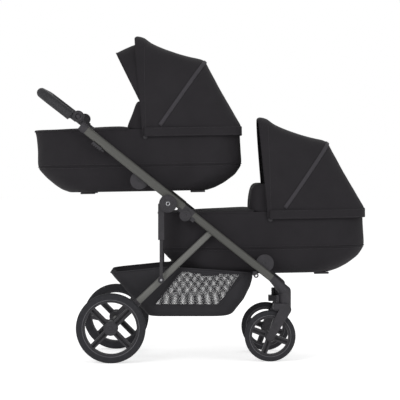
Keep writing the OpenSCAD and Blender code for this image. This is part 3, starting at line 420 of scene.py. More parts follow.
def in_edit_mode(piece, operator, **settings):
    """Runs one mesh operator on the whole of a piece."""
    only(piece)
    bpy.ops.object.mode_set(mode="EDIT")
    bpy.ops.mesh.select_all(action="SELECT")
    operator(**settings)
    bpy.ops.object.mode_set(mode="OBJECT")
    return piece


def facing_out(piece):
    """Turns all faces outwards, on a closed shape."""
    return in_edit_mode(piece, bpy.ops.mesh.normals_make_consistent, inside=False)


def closed_up(piece):
    """Merges a closed ring's first and last row, then turns its faces outwards."""
    return facing_out(in_edit_mode(piece, bpy.ops.mesh.remove_doubles, threshold=1e-6))


def run_of(path):
    """The distance along a path at each of its points."""
    return np.concatenate([[0], np.cumsum(np.linalg.norm(np.diff(path, axis=0), axis=1))])


def unit(rows):
    """The direction of each row, at length one."""
    return rows / np.linalg.norm(rows, axis=1)[:, None]


def creases(p, size, depth, seed):
    """Soft irregular waves of one size, the same on every run."""
    x, y, z = (value / size for value in p)
    return depth * noise.noise(Vector((x + seed, y - seed, z + 2 * seed)))


print("helpers ready")

# %% [markdown]
# Each carrycot is drawn in its own frame: x from its foot to its head, y across, z up from its floor,
# in millimetres. It leans back by one degree. Its hood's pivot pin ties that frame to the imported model.

# %% The carrycots' own frame
COTS = ("upper", "lower")
TILT = radians(1.0)
HOOD_PIN = (34.0, 223.0)
COT_LEN, COT_W, COT_H = 854.0, 408.0, 254.0
HALF_LEN, HALF_W = COT_LEN / 2, COT_W / 2
CORNER_STEPS = 12


def on_cot(which, points):
    """Carrycot millimetres to the pram's metres."""
    pin = pins[which + "_hood_fold"]
    p = np.array(points, float)
    dx, dz = p[..., 0] - HOOD_PIN[0], p[..., 2] - HOOD_PIN[1]
    return np.stack([pin[0] + (dx * cos(TILT) - dz * sin(TILT)) * MM, p[..., 1] * MM,
                     pin[2] + (dx * sin(TILT) + dz * cos(TILT)) * MM], -1)


def rounded_plan(foot, head, half, corner, count, head_corner=None):
    """Points evenly round a rectangle with rounded corners, from above, starting at the head."""
    path = [(head, 0.0)]
    near = corner if head_corner is None else head_corner
    corners = ((head, half, 1, 1, near, 0), (-foot, half, -1, 1, corner, 90),
               (-foot, -half, -1, -1, corner, 180), (head, -half, 1, -1, near, 270))
    for cx, cy, sx, sy, r, start in corners:
        for step in range(CORNER_STEPS + 1):
            a = radians(start + 90 * step / CORNER_STEPS)
            path.append((cx - sx * r + r * cos(a), cy - sy * r + r * sin(a)))
    path = np.array(path + [(head, 0.0)])
    run = run_of(path)
    at = np.linspace(0, run[-1], count, endpoint=False)
    return np.stack([np.interp(at, run, path[:, 0]), np.interp(at, run, path[:, 1])], -1)


def softened(table, count, width):
    """Fills in a profile's rows between the ones given, and rounds its corners as cloth does."""
    table = np.array(table, float)
    run = run_of(table * [COT_H, HALF_LEN, HALF_LEN, HALF_W])
    at = np.linspace(0, run[-1], count)
    dense = np.stack([np.interp(at, run, column) for column in table.T], -1)
    kernel = np.hanning(width + 2)[1:-1]
    kernel /= kernel.sum()
    pad = width // 2
    padded = np.concatenate([2 * dense[:1] - dense[pad:0:-1], dense,
                             2 * dense[-1:] - dense[-2:-pad - 2:-1]])
    return np.stack([np.convolve(column, kernel, "valid") for column in padded.T], -1)


print("upper hood pin", pins["upper_hood_fold"], "lower", pins["lower_hood_fold"])

# %% [markdown]
# The carrycot's body is a padded tub. Its upper wall is nearly upright, and under a sewn seam the
# lower panel draws in to a narrow floor. A box with bevelled edges would look hard, so it is a loft
# through rounded outlines, softened along its height, with the slight unevenness of foam under cloth.

# %% Carrycot shells
# Height, reach to the foot, reach to the head and half width, as shares of the carrycot's sizes.
TUB = [(0, 0.665, 0.66, 0.74), (0.046, 0.74, 0.745, 0.84), (0.125, 0.81, 0.835, 0.9),
       (0.25, 0.895, 0.935, 0.955), (0.4, 0.97, 0.998, 0.99), (0.5, 0.972, 1, 1),
       (0.7, 0.972, 0.992, 1), (0.93, 0.98, 0.988, 1), (1, 0.994, 0.988, 1)]
# Radius of the corners, as a share of the half width.
CORNER = 0.75
SEAM_Z = 0.42 * COT_H
# The seam's depth and half width, and how far the cloth lies inside its outline, in millimetres.
SEW_DEPTH, SEW_WIDTH, CLOTH_IN = 2.2, 5.0, 0.6
# Heights of the rows inside the tub, and how thick its wall and rim are.
INNER_Z, WALL, RIM_RISE = (250, 228, 204, 178, 150, 120, 90, 60, 33), 8.0, 1.2
AROUND = 144


def tub_ring(row, inset, z):
    """The tub's outline from a row of its table, drawn in by an inset."""
    foot, head = row[1] * HALF_LEN - inset, row[2] * HALF_LEN - inset
    half, corner = row[3] * HALF_W - inset, CORNER * row[3] * HALF_W - inset
    plan = rounded_plan(foot, head, half, corner, AROUND)
    return np.concatenate([plan, np.full((AROUND, 1), z)], 1)


def tub_at(z, inset):
    """The tub's outline at one height."""
    table = np.array(TUB)
    row = [z / COT_H] + [np.interp(z / COT_H, table[:, 0], table[:, k]) for k in (1, 2, 3)]
    return tub_ring(row, inset, z)


def outward(p):
    """The level direction out of the carrycot at a point of its wall."""
    away = np.array([p[0] / HALF_LEN ** 2, p[1] / HALF_W ** 2, 0])
    return away / max(1e-9, np.linalg.norm(away))


def make_shell(which):
    """The tub's outer wall, its rim and its inner wall, as one skin closed below and inside."""
    rows = [tub_ring(r, 0.0, max(r[0], 0) * COT_H) for r in softened(TUB, 44, 5)]
    for ring in rows:
        for p in ring:
            sew = SEW_DEPTH * np.exp(-((p[2] - SEAM_Z) / SEW_WIDTH) ** 2)
            wave = creases(p, 90, 1.6, 3.1) + creases(p, 34, 0.5, 7.7)
            fade = min(1.0, (COT_H - p[2]) / 25)
            p += outward(p) * (wave * min(1.0, p[2] / 60) * fade - sew - CLOTH_IN)
    rim = [tub_at(COT_H, inset) + [0, 0, RIM_RISE] for inset in (2.0, 6.0)]
    inner = [tub_at(z, WALL) for z in INNER_Z] + [tub_at(14.0, 12.0)]
    points = on_cot(which, np.array(rows + rim + inner))
    return skin(which + "_carrycot_body", points, HOOD_CLOTH, loop=True, caps=(True, True))


BEAD_SIDES = 8


def ring_tube(name, path, radius, finish, loop=True):
    """A round bead along a path, such as piping."""
    path = np.array(path, float)
    ahead, behind = np.roll(path, -1, 0), np.roll(path, 1, 0)
    if not loop:
        ahead[-1], behind[0] = path[-1], path[0]
    along = unit(ahead - behind)
    guide = np.tile([0.0, 0.0, 1.0], (len(path), 1))
    guide[np.abs(along[:, 2]) > 0.9] = (0.0, 1.0, 0.0)
    side = unit(np.cross(along, guide))
    up = np.cross(side, along)
    turns = [2 * pi * k / BEAD_SIDES for k in range(BEAD_SIDES)]
    rows = [path + radius * (cos(a) * side + sin(a) * up) for a in turns]
    rows = np.transpose(np.array(rows), (1, 0, 2))
    if loop:
        return closed_up(skin(name, np.concatenate([rows, rows[:1]]), finish, loop=True))
    return facing_out(skin(name, rows, finish, loop=True, caps=(True, True)))


# Stitches: their pitch and half thickness in metres, and the faces of each.
PITCH, HALF_THREAD = 0.0055, 0.0006
STITCH_FACES = ((0, 2, 4), (2, 1, 4), (1, 3, 4), (3, 0, 4),
                (2, 0, 5), (1, 2, 5), (3, 1, 5), (0, 3, 5))


def stitch_row(name, path, outs, body, pitch=PITCH):
    """A row of short raised stitches along a path, each a flat bead of eight faces."""
    path, outs = np.array(path, float), np.array(outs, float)
    run = run_of(path)
    count = max(2, int(run[-1] / pitch))
    points, faces = [], []

    def at(s, values):
        return np.array([np.interp(s, run, values[:, k]) for k in range(3)])

    for s in (np.arange(count) + 0.5) * run[-1] / count:
        here, out = at(s, path), at(s, outs)
        along = at(min(run[-1], s + pitch * 0.3), path) - here
        if np.linalg.norm(along) < 1e-9:
            continue
        along *= 0.32 * pitch / np.linalg.norm(along)
        out = out / np.linalg.norm(out)
        side = np.cross(out, along)
        side *= HALF_THREAD / np.linalg.norm(side)
        first = len(points)
        tips = (-along, along, side, -side, out * HALF_THREAD, -out * HALF_THREAD)
        points += [tuple(here + tip) for tip in tips]
        faces += [tuple(first + k for k in face) for face in STITCH_FACES]
    made = facing_out(piece_from(name, points, faces, THREAD))
    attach(made, body)


for which in COTS:
    body = soften(make_shell(which))
    facing_out(body)
    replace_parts(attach(body, which + "_cot"), which + "_shell")
    seam = on_cot(which, tub_at(SEAM_Z, 0.8))
    bead = ring_tube(which + "_carrycot_piping", seam, 0.0017, HOOD_CLOTH)
    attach(bead, which + "_cot")
    for tag, z in (("above", SEAM_Z + 7), ("below", SEAM_Z - 7)):
        line = tub_at(z, 0.2)
        line = np.concatenate([line, line[:1]])
        stitch_row(which + "_carrycot_stitches_" + tag, on_cot(which, line),
                   [outward(p) for p in line], which + "_cot")
    print(which, "carrycot body:", len(body.data.polygons), "faces")

# %% [markdown]
# Under each carrycot are four moulded feet, and on its sides two lugs that drop into the frame and two
# pins for the hood. They are small hard pieces, so they start as primitives and are shaped in edit
# mode: a foot is a box whose edges are bevelled, a lug a cylinder with a stepped end.

# %% Feet, lugs and hood pins
SIDES = (("left", 1), ("right", -1))
# A foot's size, and the lugs' place on the carrycot.
FOOT_SIZE, LUG = (0.060, 0.024, 0.008), (7.0, 0, 46.5)
ROD_SIDES = 48


def edit_faces(piece, test):
    """Goes into edit mode with the faces selected whose normal and centre pass a test."""
    only(piece)
    bpy.ops.object.mode_set(mode="EDIT")
    bpy.ops.mesh.select_mode(type="FACE")
    bpy.ops.mesh.select_all(action="DESELECT")
    bpy.ops.object.mode_set(mode="OBJECT")
    for face in piece.data.polygons:
        face.select = bool(test(face.normal, face.center))
    bpy.ops.object.mode_set(mode="EDIT")


def settle(piece, name, finish):
    """Back to object mode, with the piece's place put into its mesh and a finish on it."""
    bpy.ops.object.mode_set(mode="OBJECT")
    only(piece)
    bpy.ops.object.transform_apply(location=True, rotation=True, scale=True)
    piece.name = name
    piece.data.materials.clear()
    piece.data.materials.append(finish)
    bpy.ops.object.shade_smooth_by_angle(angle=radians(35))
    return piece


def placed(size=(1, 1, 1)):
    """The primitive just added, with its size and place put into its mesh."""
    made = bpy.context.object
    made.scale = size
    bpy.ops.object.transform_apply(location=True, rotation=True, scale=True)
    return made


def rod(name, centre, radius, length, finish, steps, bevel=0.0006):
    """A turned piece across the pram: a cylinder whose outer end has steps, each (inset, push)."""
    bpy.ops.object.select_all(action="DESELECT")
    bpy.ops.mesh.primitive_cylinder_add(vertices=ROD_SIDES, radius=radius, depth=length,
                                        location=centre, rotation=(radians(90), 0, 0))
    made = placed()
    outer = 1 if centre[1] > 0 else -1
    edit_faces(made, lambda n, c: n.y * outer > 0.9)
    for inset, push in steps:
        bpy.ops.mesh.inset(thickness=inset, depth=0)
        bpy.ops.transform.translate(value=(0, outer * push, 0))
    settle(made, name, finish)
    finish_with(made, "BEVEL", width=bevel, segments=2, limit_method="ANGLE",
                angle_limit=radians(40))
    return settle(made, name, finish)


for which in COTS:
    for end, share in (("foot", -0.485), ("head", 0.57)):
        for tag, k in SIDES:
            at = on_cot(which, [(share * HALF_LEN, k * 114.0, -3.0)])[0]
            bpy.ops.object.select_all(action="DESELECT")
            bpy.ops.mesh.primitive_cube_add(size=1, location=at, rotation=(0, -TILT, 0))
            pad = placed(FOOT_SIZE)
            edit_faces(pad, lambda n, c: n.z < -0.5)
            bpy.ops.mesh.inset(thickness=0.004, depth=0.0)
            bpy.ops.mesh.inset(thickness=0.002, depth=-0.001)
            settle(pad, "%s_carrycot_%s_pad_%s" % (which, end, tag), NYLON)
            finish_with(pad, "BEVEL", width=0.0022, segments=3, limit_method="ANGLE",
                        angle_limit=radians(50))
            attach(settle(pad, pad.name, NYLON), which + "_cot")
    for tag, k in SIDES:
        at = on_cot(which, [LUG])[0]
        lug = rod("%s_lug_%s" % (which, tag), (at[0], k * 0.2112, at[2]), 0.012, 0.0544, NYLON,
                  [(0.002, 0), (0.002, -0.0015)])
        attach(lug, which + "_cot")
        at = on_cot(which, [(HOOD_PIN[0], 0, HOOD_PIN[1])])[0]
        pin = rod("%s_hood_pin_%s" % (which, tag), (at[0], k * 0.2062, at[2]), 0.003, 0.0123, NYLON,
                  [(0.0008, 0)], 0.0003)
        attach(pin, which + "_cot")
print("feet, lugs and pins made")

# %% [markdown]
# The apron covers the foot end. It is a sheet with a little padding, bound to the rim all round and
# crowned in the middle. It rises towards the wind flap, because the mattress and a blanket would push
# it up there.

# %% Aprons
# The apron's end at the wind flap, its reach to the foot, the corners at the flap and its points round.
APRON_END, APRON_FOOT, FLAP_CORNER, APRON_ROUND = -30.0, 0.994 * HALF_LEN, 6.0, 120
# Height of the cloth over the rim before it crowns.
APRON_RISE = 2.6


def apron_plan(out):
    """The apron's outline, standing out over the rim."""
    return rounded_plan(APRON_FOOT + out, APRON_END, HALF_W + out, CORNER * HALF_W + out,
                        APRON_ROUND, FLAP_CORNER)


def make_apron():
    """The turned-down edge, then rings that close in and rise towards the middle."""
    rows = []
    for out, z in ((1.2, COT_H - 5), (1.6, COT_H - 1), (0.9, COT_H + 2.2)):
        rows.append(np.concatenate([apron_plan(out), np.full((APRON_ROUND, 1), z)], 1))
    plan = apron_plan(0.0)
    centre = np.array([(APRON_END - HALF_LEN) / 2, 0])
    for share in (0.02, 0.06, 0.14, 0.28, 0.5, 0.75, 0.97):
        ring = centre + (plan - centre) * [1 - share * min(1.0, 0.3 + share), 1 - share]
        lean = np.clip((ring[:, 0] + 330) / 290, 0, 1)
        crown = 3.5 * np.sqrt(min(1, 3 * share)) + 10.5 * min(1.0, 3.2 * share) ** 0.7 * lean
        rows.append(np.concatenate([ring, (COT_H + APRON_RISE + crown)[:, None]], 1))
    for row in rows[3:]:
        for p in row:
            p[2] += creases(p, 70, 1.5, 5.3) * min(1.0, (p[2] - COT_H - APRON_RISE) / 4)
    return np.array(rows)


for which in COTS:
    rows = make_apron()
    flap_side = rows[:3, :, 0] > APRON_END - 1.5
    rows[:3][flap_side, 2] = np.maximum(rows[:3][flap_side, 2], COT_H + 1.0)
    cover = skin(which + "_apron_cloth", on_cot(which, rows), HOOD_CLOTH, loop=True,
                 caps=(False, True))
    facing_out(cover)
    thicken(cover, 0.002, -1)
    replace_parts(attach(cover, which + "_cot"), which + "_apron")

# %% [markdown]
# A mattress lies in each carrycot. It is a foam pad in a knitted cover: its top is crowned, its sides
# pull in a little between the seams, and a bead of piping runs round it. It can hardly be seen, so
# a loft with a soft profile does the job, with no simulation.

# %% Mattresses
# Heights over the pad's underside with the inset at each, and where it lies in the tub.
PAD = [(0, 9), (3, 3.5), (10, 0.4), (20, 1.6), (31, 0.2), (38, 4), (41, 14), (42.5, 40), (43, 90)]
PAD_BASE, PAD_PLAN, PIPING_Z = 14.6, 12.0, 33
for which in COTS:
    rows = [tub_at(PAD_PLAN, 12.5 + inset) for z, inset in PAD]
    for ring, (z, inset) in zip(rows, PAD):
        ring[:, 2] = PAD_BASE + z
        for p in ring:
            p[2] += creases(p, 60, 1.2, 2.2) * (z > 35)
    pad = skin(which + "_mattress_pad", on_cot(which, rows), MATTRESS_CLOTH, loop=True,
               caps=(True, True))
    soften(pad)
    facing_out(pad)
    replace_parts(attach(pad, which + "_cot"), which + "_mattress")
    edge = tub_at(PAD_PLAN, 13.0)
    edge[:, 2] = PAD_BASE + PIPING_Z
    bead = ring_tube(which + "_mattress_piping", on_cot(which, edge), 0.002, TAPE)
    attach(bead, which + "_cot")
print("mattresses made")

# %% [markdown]
# The hoods are the pram's main shapes. Each is one cloth stretched over a front bow, a middle bow and
# the rim: the cloth sags a little between the bows, stands up over each bow, and is drawn down at the
# sides. All the arches spring from one pin on each side, so a hood can be drawn as a fan of arches
# about that pin. It is sewn from a front and a rear panel that meet on the middle bow, which also
# lets each panel bend with its own two bows when the hood folds.

# %% Arches of the hood
FRONT_DIR, FRONT_REACH = 94.1, 418.0
MID_DIR, MID_REACH = 50.9, 396.5
HALF_OUT = 215.3
HEM_REACH, HEM_TOP = 393.0, 40.0
# Points across an arch, the degrees over the rim where it starts, and how square its shoulders are.
ACROSS, START, SQUARE, HEM_SQUARE = 73, 0.15, 2 / 2.7, 0.4
# The middle bow meets the rim this far behind the pin, and the fold turns it back by this much.
MID_FOOT, MID_TURN = 27.0, 33


def arch_angles(start):
    """Angles along an arch, closer together towards its feet."""
    k = np.arange(ACROSS) / (ACROSS - 1)
    return np.radians(start + (180 - 2 * start) * (1 - np.cos(pi * k)) / 2)


def square_arch(start, power):
    """Shares of an arch's height and half width along it."""
    a = arch_angles(start)
    return np.sin(a) ** power, np.sign(np.cos(a)) * np.abs(np.cos(a)) ** power


def arch(reach, direction, foot=0.0, start=START):
    """One arch of the hood, in millimetres about its pin. foot moves its ends towards the head."""
    up, side = square_arch(start, SQUARE)
    d = radians(direction)
    x = reach * up * cos(d) + foot * (1 - up)
    return np.stack([x, HALF_OUT * side, reach * up * sin(d)], -1)


def hem(rise, grow=0.0):
    """The line round the carrycot's head end that the hood is sewn to."""
    up, side = square_arch(START, HEM_SQUARE)
    return np.stack([(HEM_REACH + 0.6 * grow) * up, (HALF_OUT + grow) * side, rise * up], -1)


def from_pin(which, points):
    """Millimetres about the hood's pin to the pram's metres."""
    return on_cot(which, np.array(points) + [HOOD_PIN[0], 0, HOOD_PIN[1]])


CROWN = np.sin(arch_angles(START)) ** 2
RIDGE = arch(MID_REACH, MID_DIR, foot=MID_FOOT)
# Rise of the cloth over the straight line between the bows, along the crown, from the front back.
ROOF = ([0.0, 0.035, 0.08, 0.12, 0.16, 0.21, 0.3, 0.39, 0.48, 0.56, 0.65, 0.74, 0.83,
         0.92, 0.97, 1.0],
        [2, 4.5, 6, 4.5, 0.5, -4, -7, -8, -7.2, -6.6, -5.6, -3.4, -0.2, 4, 4, 1])
BACK = ([0.0, 0.06, 0.12, 0.5, 1.0], [1, 1, 0, -2, 0])


def panel(a, b, rise, direction, rows):
    """A panel between two arches, raised or sagged along the crown and drawn in at the sides."""
    made = []
    d = radians(direction)
    for t in np.linspace(0, 1, rows):
        line = a + (b - a) * t
        push = np.interp(t, *rise) * CROWN
        line = line + push[:, None] * [cos(d), 0, sin(d)]
        line[:, 1] -= np.sign(line[:, 1]) * 3.0 * sin(pi * t) ** 2 * (1 - CROWN)
        for p in line:
            fold = creases(p, 75, 1.5, 11.3) + creases(p, 30, 0.6, 4.4)
            p += fold * sin(pi * t) * np.array([cos(d), 0.4 * np.sign(p[1]), sin(d)])
        made.append(line)
    return np.array(made)


def fan_weights(piece, which, start, end):
    """How far round the fan each point lies: 0 on the first bow, 1 on the second."""
    pin = pins[which + "_hood_fold"]
    weight = piece.data.attributes["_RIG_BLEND"]
    for point, value in zip(piece.data.vertices, weight.data):
        turn = np.degrees(atan2(point.co.z - pin[2], point.co.x - pin[0]) - TILT)
        if np.hypot(point.co.x - pin[0], point.co.z - pin[2]) < 0.02:
            turn = (start + end) / 2
        value.value = min(1.0, max(0.0, (turn - start) / (end - start)))


# Degrees in which the cloth rises between the bows, and each panel's rows.
ROOF_DIR, ROOF_ROWS, BACK_DIR, BACK_ROWS = 73, 30, 26, 24
# Rows of the lip, and the row behind it that the front stitches follow.
LIP_ROWS, SEAM_ROW = 3, 3
for which in COTS:
    front = arch(FRONT_REACH, FRONT_DIR)
    lip = front + [-13, 0, -2.5]
    roof = panel(front, RIDGE, ROOF, ROOF_DIR, ROOF_ROWS)
    # Near the pin the cloth ends high enough to stay behind the hem band when the hood is folded.
    least = np.maximum(0, roof[..., 0]) * tan(radians(MID_TURN))
    roof[..., 2] = np.maximum(roof[..., 2], least)
    lip_rows = [lip + [4, 0, -6], lip + [0, 0, -2], (lip + 2 * roof[0]) / 3 + [0, 0, 1.0]]
    roof = np.concatenate([lip_rows, roof])
    back = panel(RIDGE, hem(HEM_TOP), BACK, BACK_DIR, BACK_ROWS)
    back = np.concatenate([back, [hem(HEM_TOP - 16)]])
    cot, mid_bow, front_bow = which + "_cot", which + "_mid_bow", which + "_front_bow"
    panels = (("front", roof, (mid_bow, front_bow), (MID_DIR + 1, FRONT_DIR - 4)),
              ("rear", back, (cot, mid_bow), (8.0, MID_DIR - 1)))
    for tag, rows, bodies, turn in panels:
        cloth = skin("%s_hood_%s" % (which, tag), from_pin(which, rows), HOOD_CLOTH)
        thicken(cloth, 0.002, -1)
        pin = pins[which + "_hood_fold"]
        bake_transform(cloth, *bodies, start=(pin[0] + 0.3, 0, pin[2]),
                 end=(pin[0] - 0.1, 0, pin[2] + 0.3))
        fan_weights(cloth, which, *turn)
        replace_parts(cloth, which + "_hood_cover")
    seam = roof[LIP_ROWS + SEAM_ROW][4:-4]
    outs = seam * [0.4, 1, 1]
    stitch_row(which + "_hood_stitches_front", from_pin(which, seam + 0.4 * unit(outs)), outs,
               which + "_front_bow")

# %% [markdown]
# Over the middle bow runs a grey tape, the one line that shows on the dark hoods. A second sewn band
# goes round the bottom of the hood and hides the rim. Both are separate strips on the real hood, so
# they are strips here, with stitches along their edges.

# %% Tape, hem band and hood stitches
# Sections through the tape and the band: place across the tape and rise over the bow, then the
# share of the way down the band and how far it stands out.
TAPE_SECTION = ((-6.5, 0.4), (-6, 2.0), (-3, 2.6), (0, 2.8), (3, 2.6), (6, 2.0), (6.5, 0.4))
BAND_SECTION = ((0.03, 5.2), (0.3, 5.5), (0.7, 5.5), (0.97, 5.2), (1, 4.9))
BAND_TOP, BAND_FOOT, COT_SIDE = HEM_TOP - 2, 4.9, 206.5


def band_line(share, grow):
    """A line round the band, at a share of its way down."""
    line = hem(0, grow)
    line[:, 2] = BAND_TOP - BAND_TOP * share
    return line


for which in COTS:
    across = np.array([-sin(radians(MID_DIR)), 0, cos(radians(MID_DIR))])
    path = RIDGE[RIDGE[:, 2] > HEM_TOP]
    out = unit((path - [MID_FOOT, 0, 0]) * [1, 0.9, 1])
    rows = [path + across * w + out * h for w, h in TAPE_SECTION]
    tape = skin(which + "_hood_tape", from_pin(which, rows), TAPE)
    finish_with(tape, "SOLIDIFY", thickness=0.001, offset=-1)
    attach(tape, which + "_mid_bow")

    rows = []
    # The band stands off near the pin, where the cloth and tape slide behind it, and is drawn in
    # further back.
    close = np.interp(hem(0)[:, 0], [110, 170], [BAND_FOOT, 0.3])
    for share, grow in ((0, close),) + BAND_SECTION:
        line = band_line(share, grow)
        first, last = line[0].copy(), line[-1].copy()
        first[0] = last[0] = -6.0
        rows.append(np.concatenate([[first], line, [last]]))
    # The bottom edge is turned in against the carrycot, behind the pin, so no light shows there.
    facing = rows[-1] * [1, COT_SIDE / (HALF_OUT + BAND_FOOT), 1]
    facing[:, 0] = np.maximum(facing[:, 0], 30)
    rows.append(facing)
    band = skin(which + "_hood_hem", from_pin(which, rows), HOOD_CLOTH)
    thicken(band, 0.0012, -1)
    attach(band, which + "_cot")
    for tag, share in (("top", 0.12), ("low", 0.88)):
        line = band_line(share, 5.8)
        stitch_row("%s_hood_stitches_%s" % (which, tag), from_pin(which, line),
                   [outward(p) for p in line], which + "_cot")
    print(which, "tape and hem band made")

# %% [markdown]
# The upper hood has a visor folded out: a peak of the same cloth with a wire in its edge. It is widest
# at the crown and runs out to nothing at the sides. It is sewn inside the hood's front edge, a little
# under the crown, so a notch shows there. Its root stays on the front bow, and its edge turns with its
# own joint, so the sheet is blended between the two.

# %% Visor
# The visor's reach at its root, the degrees where it starts, and how far its edge stands out and drops.
VISOR_REACH, VISOR_START, VISOR_OUT, VISOR_DROP = 386, 15.3, 82, 34
front = arch(VISOR_REACH, FRONT_DIR, start=VISOR_START) + [-8.0, 0, 0]
low = front[0, 2]
share = (front[:, 2] - low) / (front[:, 2].max() - low)
rows = []
for t in np.linspace(0, 1, 9):
    line = front.copy()
    line[:, 0] -= VISOR_OUT * share * t
    line[:, 2] -= VISOR_DROP * share * t ** 1.15
    line[:, 1] *= 1 - 0.03 * t
    rows.append(line)
visor = skin("upper_visor_cloth", from_pin("upper", rows), HOOD_CLOTH)
thicken(visor, 0.002, 1)
root = pins["upper_visor_fold"]
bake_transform(visor, "upper_front_bow", "upper_visor", start=(root[0], 0, root[2]),
         end=(root[0] - 0.04, 0, root[2]))
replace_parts(visor, "upper_visor")
edge = from_pin("upper", rows[-1])
bead = ring_tube("upper_visor_wire", edge, 0.0022, HOOD_CLOTH, loop=False)
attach(bead, "upper_visor")

# %% [markdown]
# A wind flap stands up from the apron's edge, inside the mouth of the hood. It is a thin padded panel
# whose sides turn back into wings that close the gap to the hood's edge. The upper one leans back
# under its hood, and the lower one stands fuller.

# %% Wind flaps
# Each flap's middle line, as carrycot x and z from its foot upwards.
PROFILE = {"upper": [(-38.5, 257), (-36, 269), (-27, 292), (-17.5, 316),
                     (-9, 340), (-2, 357), (5, 365), (16, 368.5)],
           "lower": [(-45, 257), (-45, 269), (-43.5, 295), (-41, 319),
                     (-36.5, 341), (-30, 356), (-21, 364), (-8, 367)]}
# Half of a flap seen from above: straight across, round a corner, then back along the side.
BEND, WING = 45, 72
TURN = [(BEND - BEND * cos(a), 148 + BEND * sin(a)) for a in np.radians(np.arange(0, 91, 15))]
HALF_FLAP = np.array([(0, y) for y in np.linspace(0, 140, 8)] + TURN + [(58, 193.5), (WING, 194)])
for which in COTS:
    rows = []
    for share in np.linspace(0, 1, 15):
        x, z = (np.interp(share * 7, range(8), column) for column in zip(*PROFILE[which]))
        side = np.concatenate([HALF_FLAP[:0:-1] * [1, -1], HALF_FLAP])
        back = side[:, 0] / WING
        reach = x + side[:, 0] * (1.0 if which == "lower" else 0.9 - 0.35 * share)
        lift = -5.0 * back * (1 - share) - 4.0 * back ** 2 * share
        line = np.stack([reach, side[:, 1] * (1 - 0.06 * share), z + lift], -1)
        for p in line:
            p[0] += creases(p, 60, 2.0, 8.1) * sin(pi * min(1, share + 0.1))
        rows.append(line)
    flap = skin(which + "_wind_flap_cloth", on_cot(which, rows), HOOD_CLOTH)
    thicken(flap, 0.004, 0)
    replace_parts(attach(flap, which + "_wind_flap"), which + "_wind_flap")

# %% [markdown]
# The shopping basket hangs between the rear legs and the front tubes. Its ends, floor and borders are
# coated cloth that sags, and each side has a window of net. The net is real strands here, because
# light has to pass through it: two families of thin flat cords that cross at a slope.

# %% Basket
# Height, reach to the rear, reach to the front and half width, as shares of the basket's sizes.
BASKET = np.array([(0, 0.46, 0.62, 0.74), (0.05, 0.5, 0.715, 0.81), (0.39, 0.69, 0.88, 0.91),
                   (0.69, 0.85, 0.97, 0.96), (0.875, 0.95, 1, 0.99), (1, 1.005, 1, 1)])
# The basket's middle along X, reach each way, half width and floor height, in metres.
BASKET_X, BASKET_REACH, BASKET_HALF, BASKET_FLOOR = -0.0737, 0.288, 0.198, 0.176
# The rim's height along X.
RIM_LINE = ([-0.362, -0.30, -0.162, -0.121, -0.04, 0.06, 0.15, 0.212],
            [0.356, 0.3625, 0.3766, 0.3786, 0.374, 0.367, 0.360, 0.356])
# Corners of the net window in each side wall, as X and Z.
WINDOWS = {"right": [(-0.075, 0.362), (0.177, 0.348), (0.078, 0.232), (0.065, 0.226),
                     (-0.180, 0.228)],
           "left": [(-0.081, 0.366), (0.188, 0.348), (0.088, 0.206), (0.075, 0.200),
                    (-0.187, 0.201)]}
# How many points go round the basket's outline.
ROUND = 240


def basket_half(share):
    """Half the basket's width at a share of its height."""
    return BASKET_HALF * np.interp(share, BASKET[:, 0], BASKET[:, 3])


def basket_ring(share):
    """The basket's outline at a share of its height. The rim's rise and fall fades downwards."""
    rear, front = (BASKET_REACH * np.interp(share, BASKET[:, 0], BASKET[:, k]) for k in (1, 2))
    half = basket_half(share)
    plan = rounded_plan(rear, front, half, 0.25 * half, ROUND)
    x = plan[:, 0] + BASKET_X
    z = BASKET_FLOOR + share * (np.interp(x, *RIM_LINE) - BASKET_FLOOR)
    return np.stack([x, plan[:, 1], z], -1)


def in_window(window, x, z, margin):
    """Whether a point of a side wall lies in a net window, or within a margin outside it."""
    inside = True
    for (ax, az), (bx, bz) in zip(window, window[1:] + window[:1]):
        away = ((x - ax) * (bz - az) - (z - az) * (bx - ax)) / np.hypot(bx - ax, bz - az)
        inside = inside and away > -margin
    return inside


def wall_y(x, z):
    """How far out the basket's wall stands at a point of it."""
    rim = np.interp(x, *RIM_LINE)
    return basket_half(np.clip((z - BASKET_FLOOR) / (rim - BASKET_FLOOR), 0, 1))


rows = []
for share in np.concatenate([np.linspace(1, 0.12, 34), [0.07, 0.035, 0.012]]):
    ring = basket_ring(share)
    for p in ring:
        bow = creases(p, 0.09, 0.004, 6.6) * sin(pi * share)
        p[1] += np.sign(p[1]) * bow * (abs(p[1]) > 0.7 * basket_half(share))
    rows.append(ring)
for shrink, sag in ((0.94, 0.0), (0.8, -0.002), (0.55, -0.004), (0.25, -0.005)):
    ring = basket_ring(0.0)
    ring[:, :2] = (ring[:, :2] - [BASKET_X, 0]) * shrink + [BASKET_X, 0]
    ring[:, 2] += sag
    rows.append(ring)
bag = skin("basket_cloth", rows, BASKET_CLOTH, loop=True, caps=(False, True))
edit_faces(bag, lambda n, c: abs(n.y) > 0.6 and in_window(
    WINDOWS["left" if c.y > 0 else "right"], c.x, c.z, 0.002))
bpy.ops.mesh.delete(type="FACE")
bpy.ops.object.mode_set(mode="OBJECT")
thicken(bag, 0.0018, 0)
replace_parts(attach(bag, "front_frame"), "basket")
basket_pieces = [bag]

# %% [markdown]
# Each net is two families of flat cords that cross at a slope. Seen one behind the other, two such
# fine nets beat together into the soft rows of light spots that the side view shows. A taped edge
# frames each window.

# %% Nets and window tapes
# The cords' distance, their width as a share of it, their slope and the most points along each.
CORD_GAP, CORD_SHARE, CORD_SLOPE, CORD_POINTS = 0.0009, 0.42, radians(36), 7
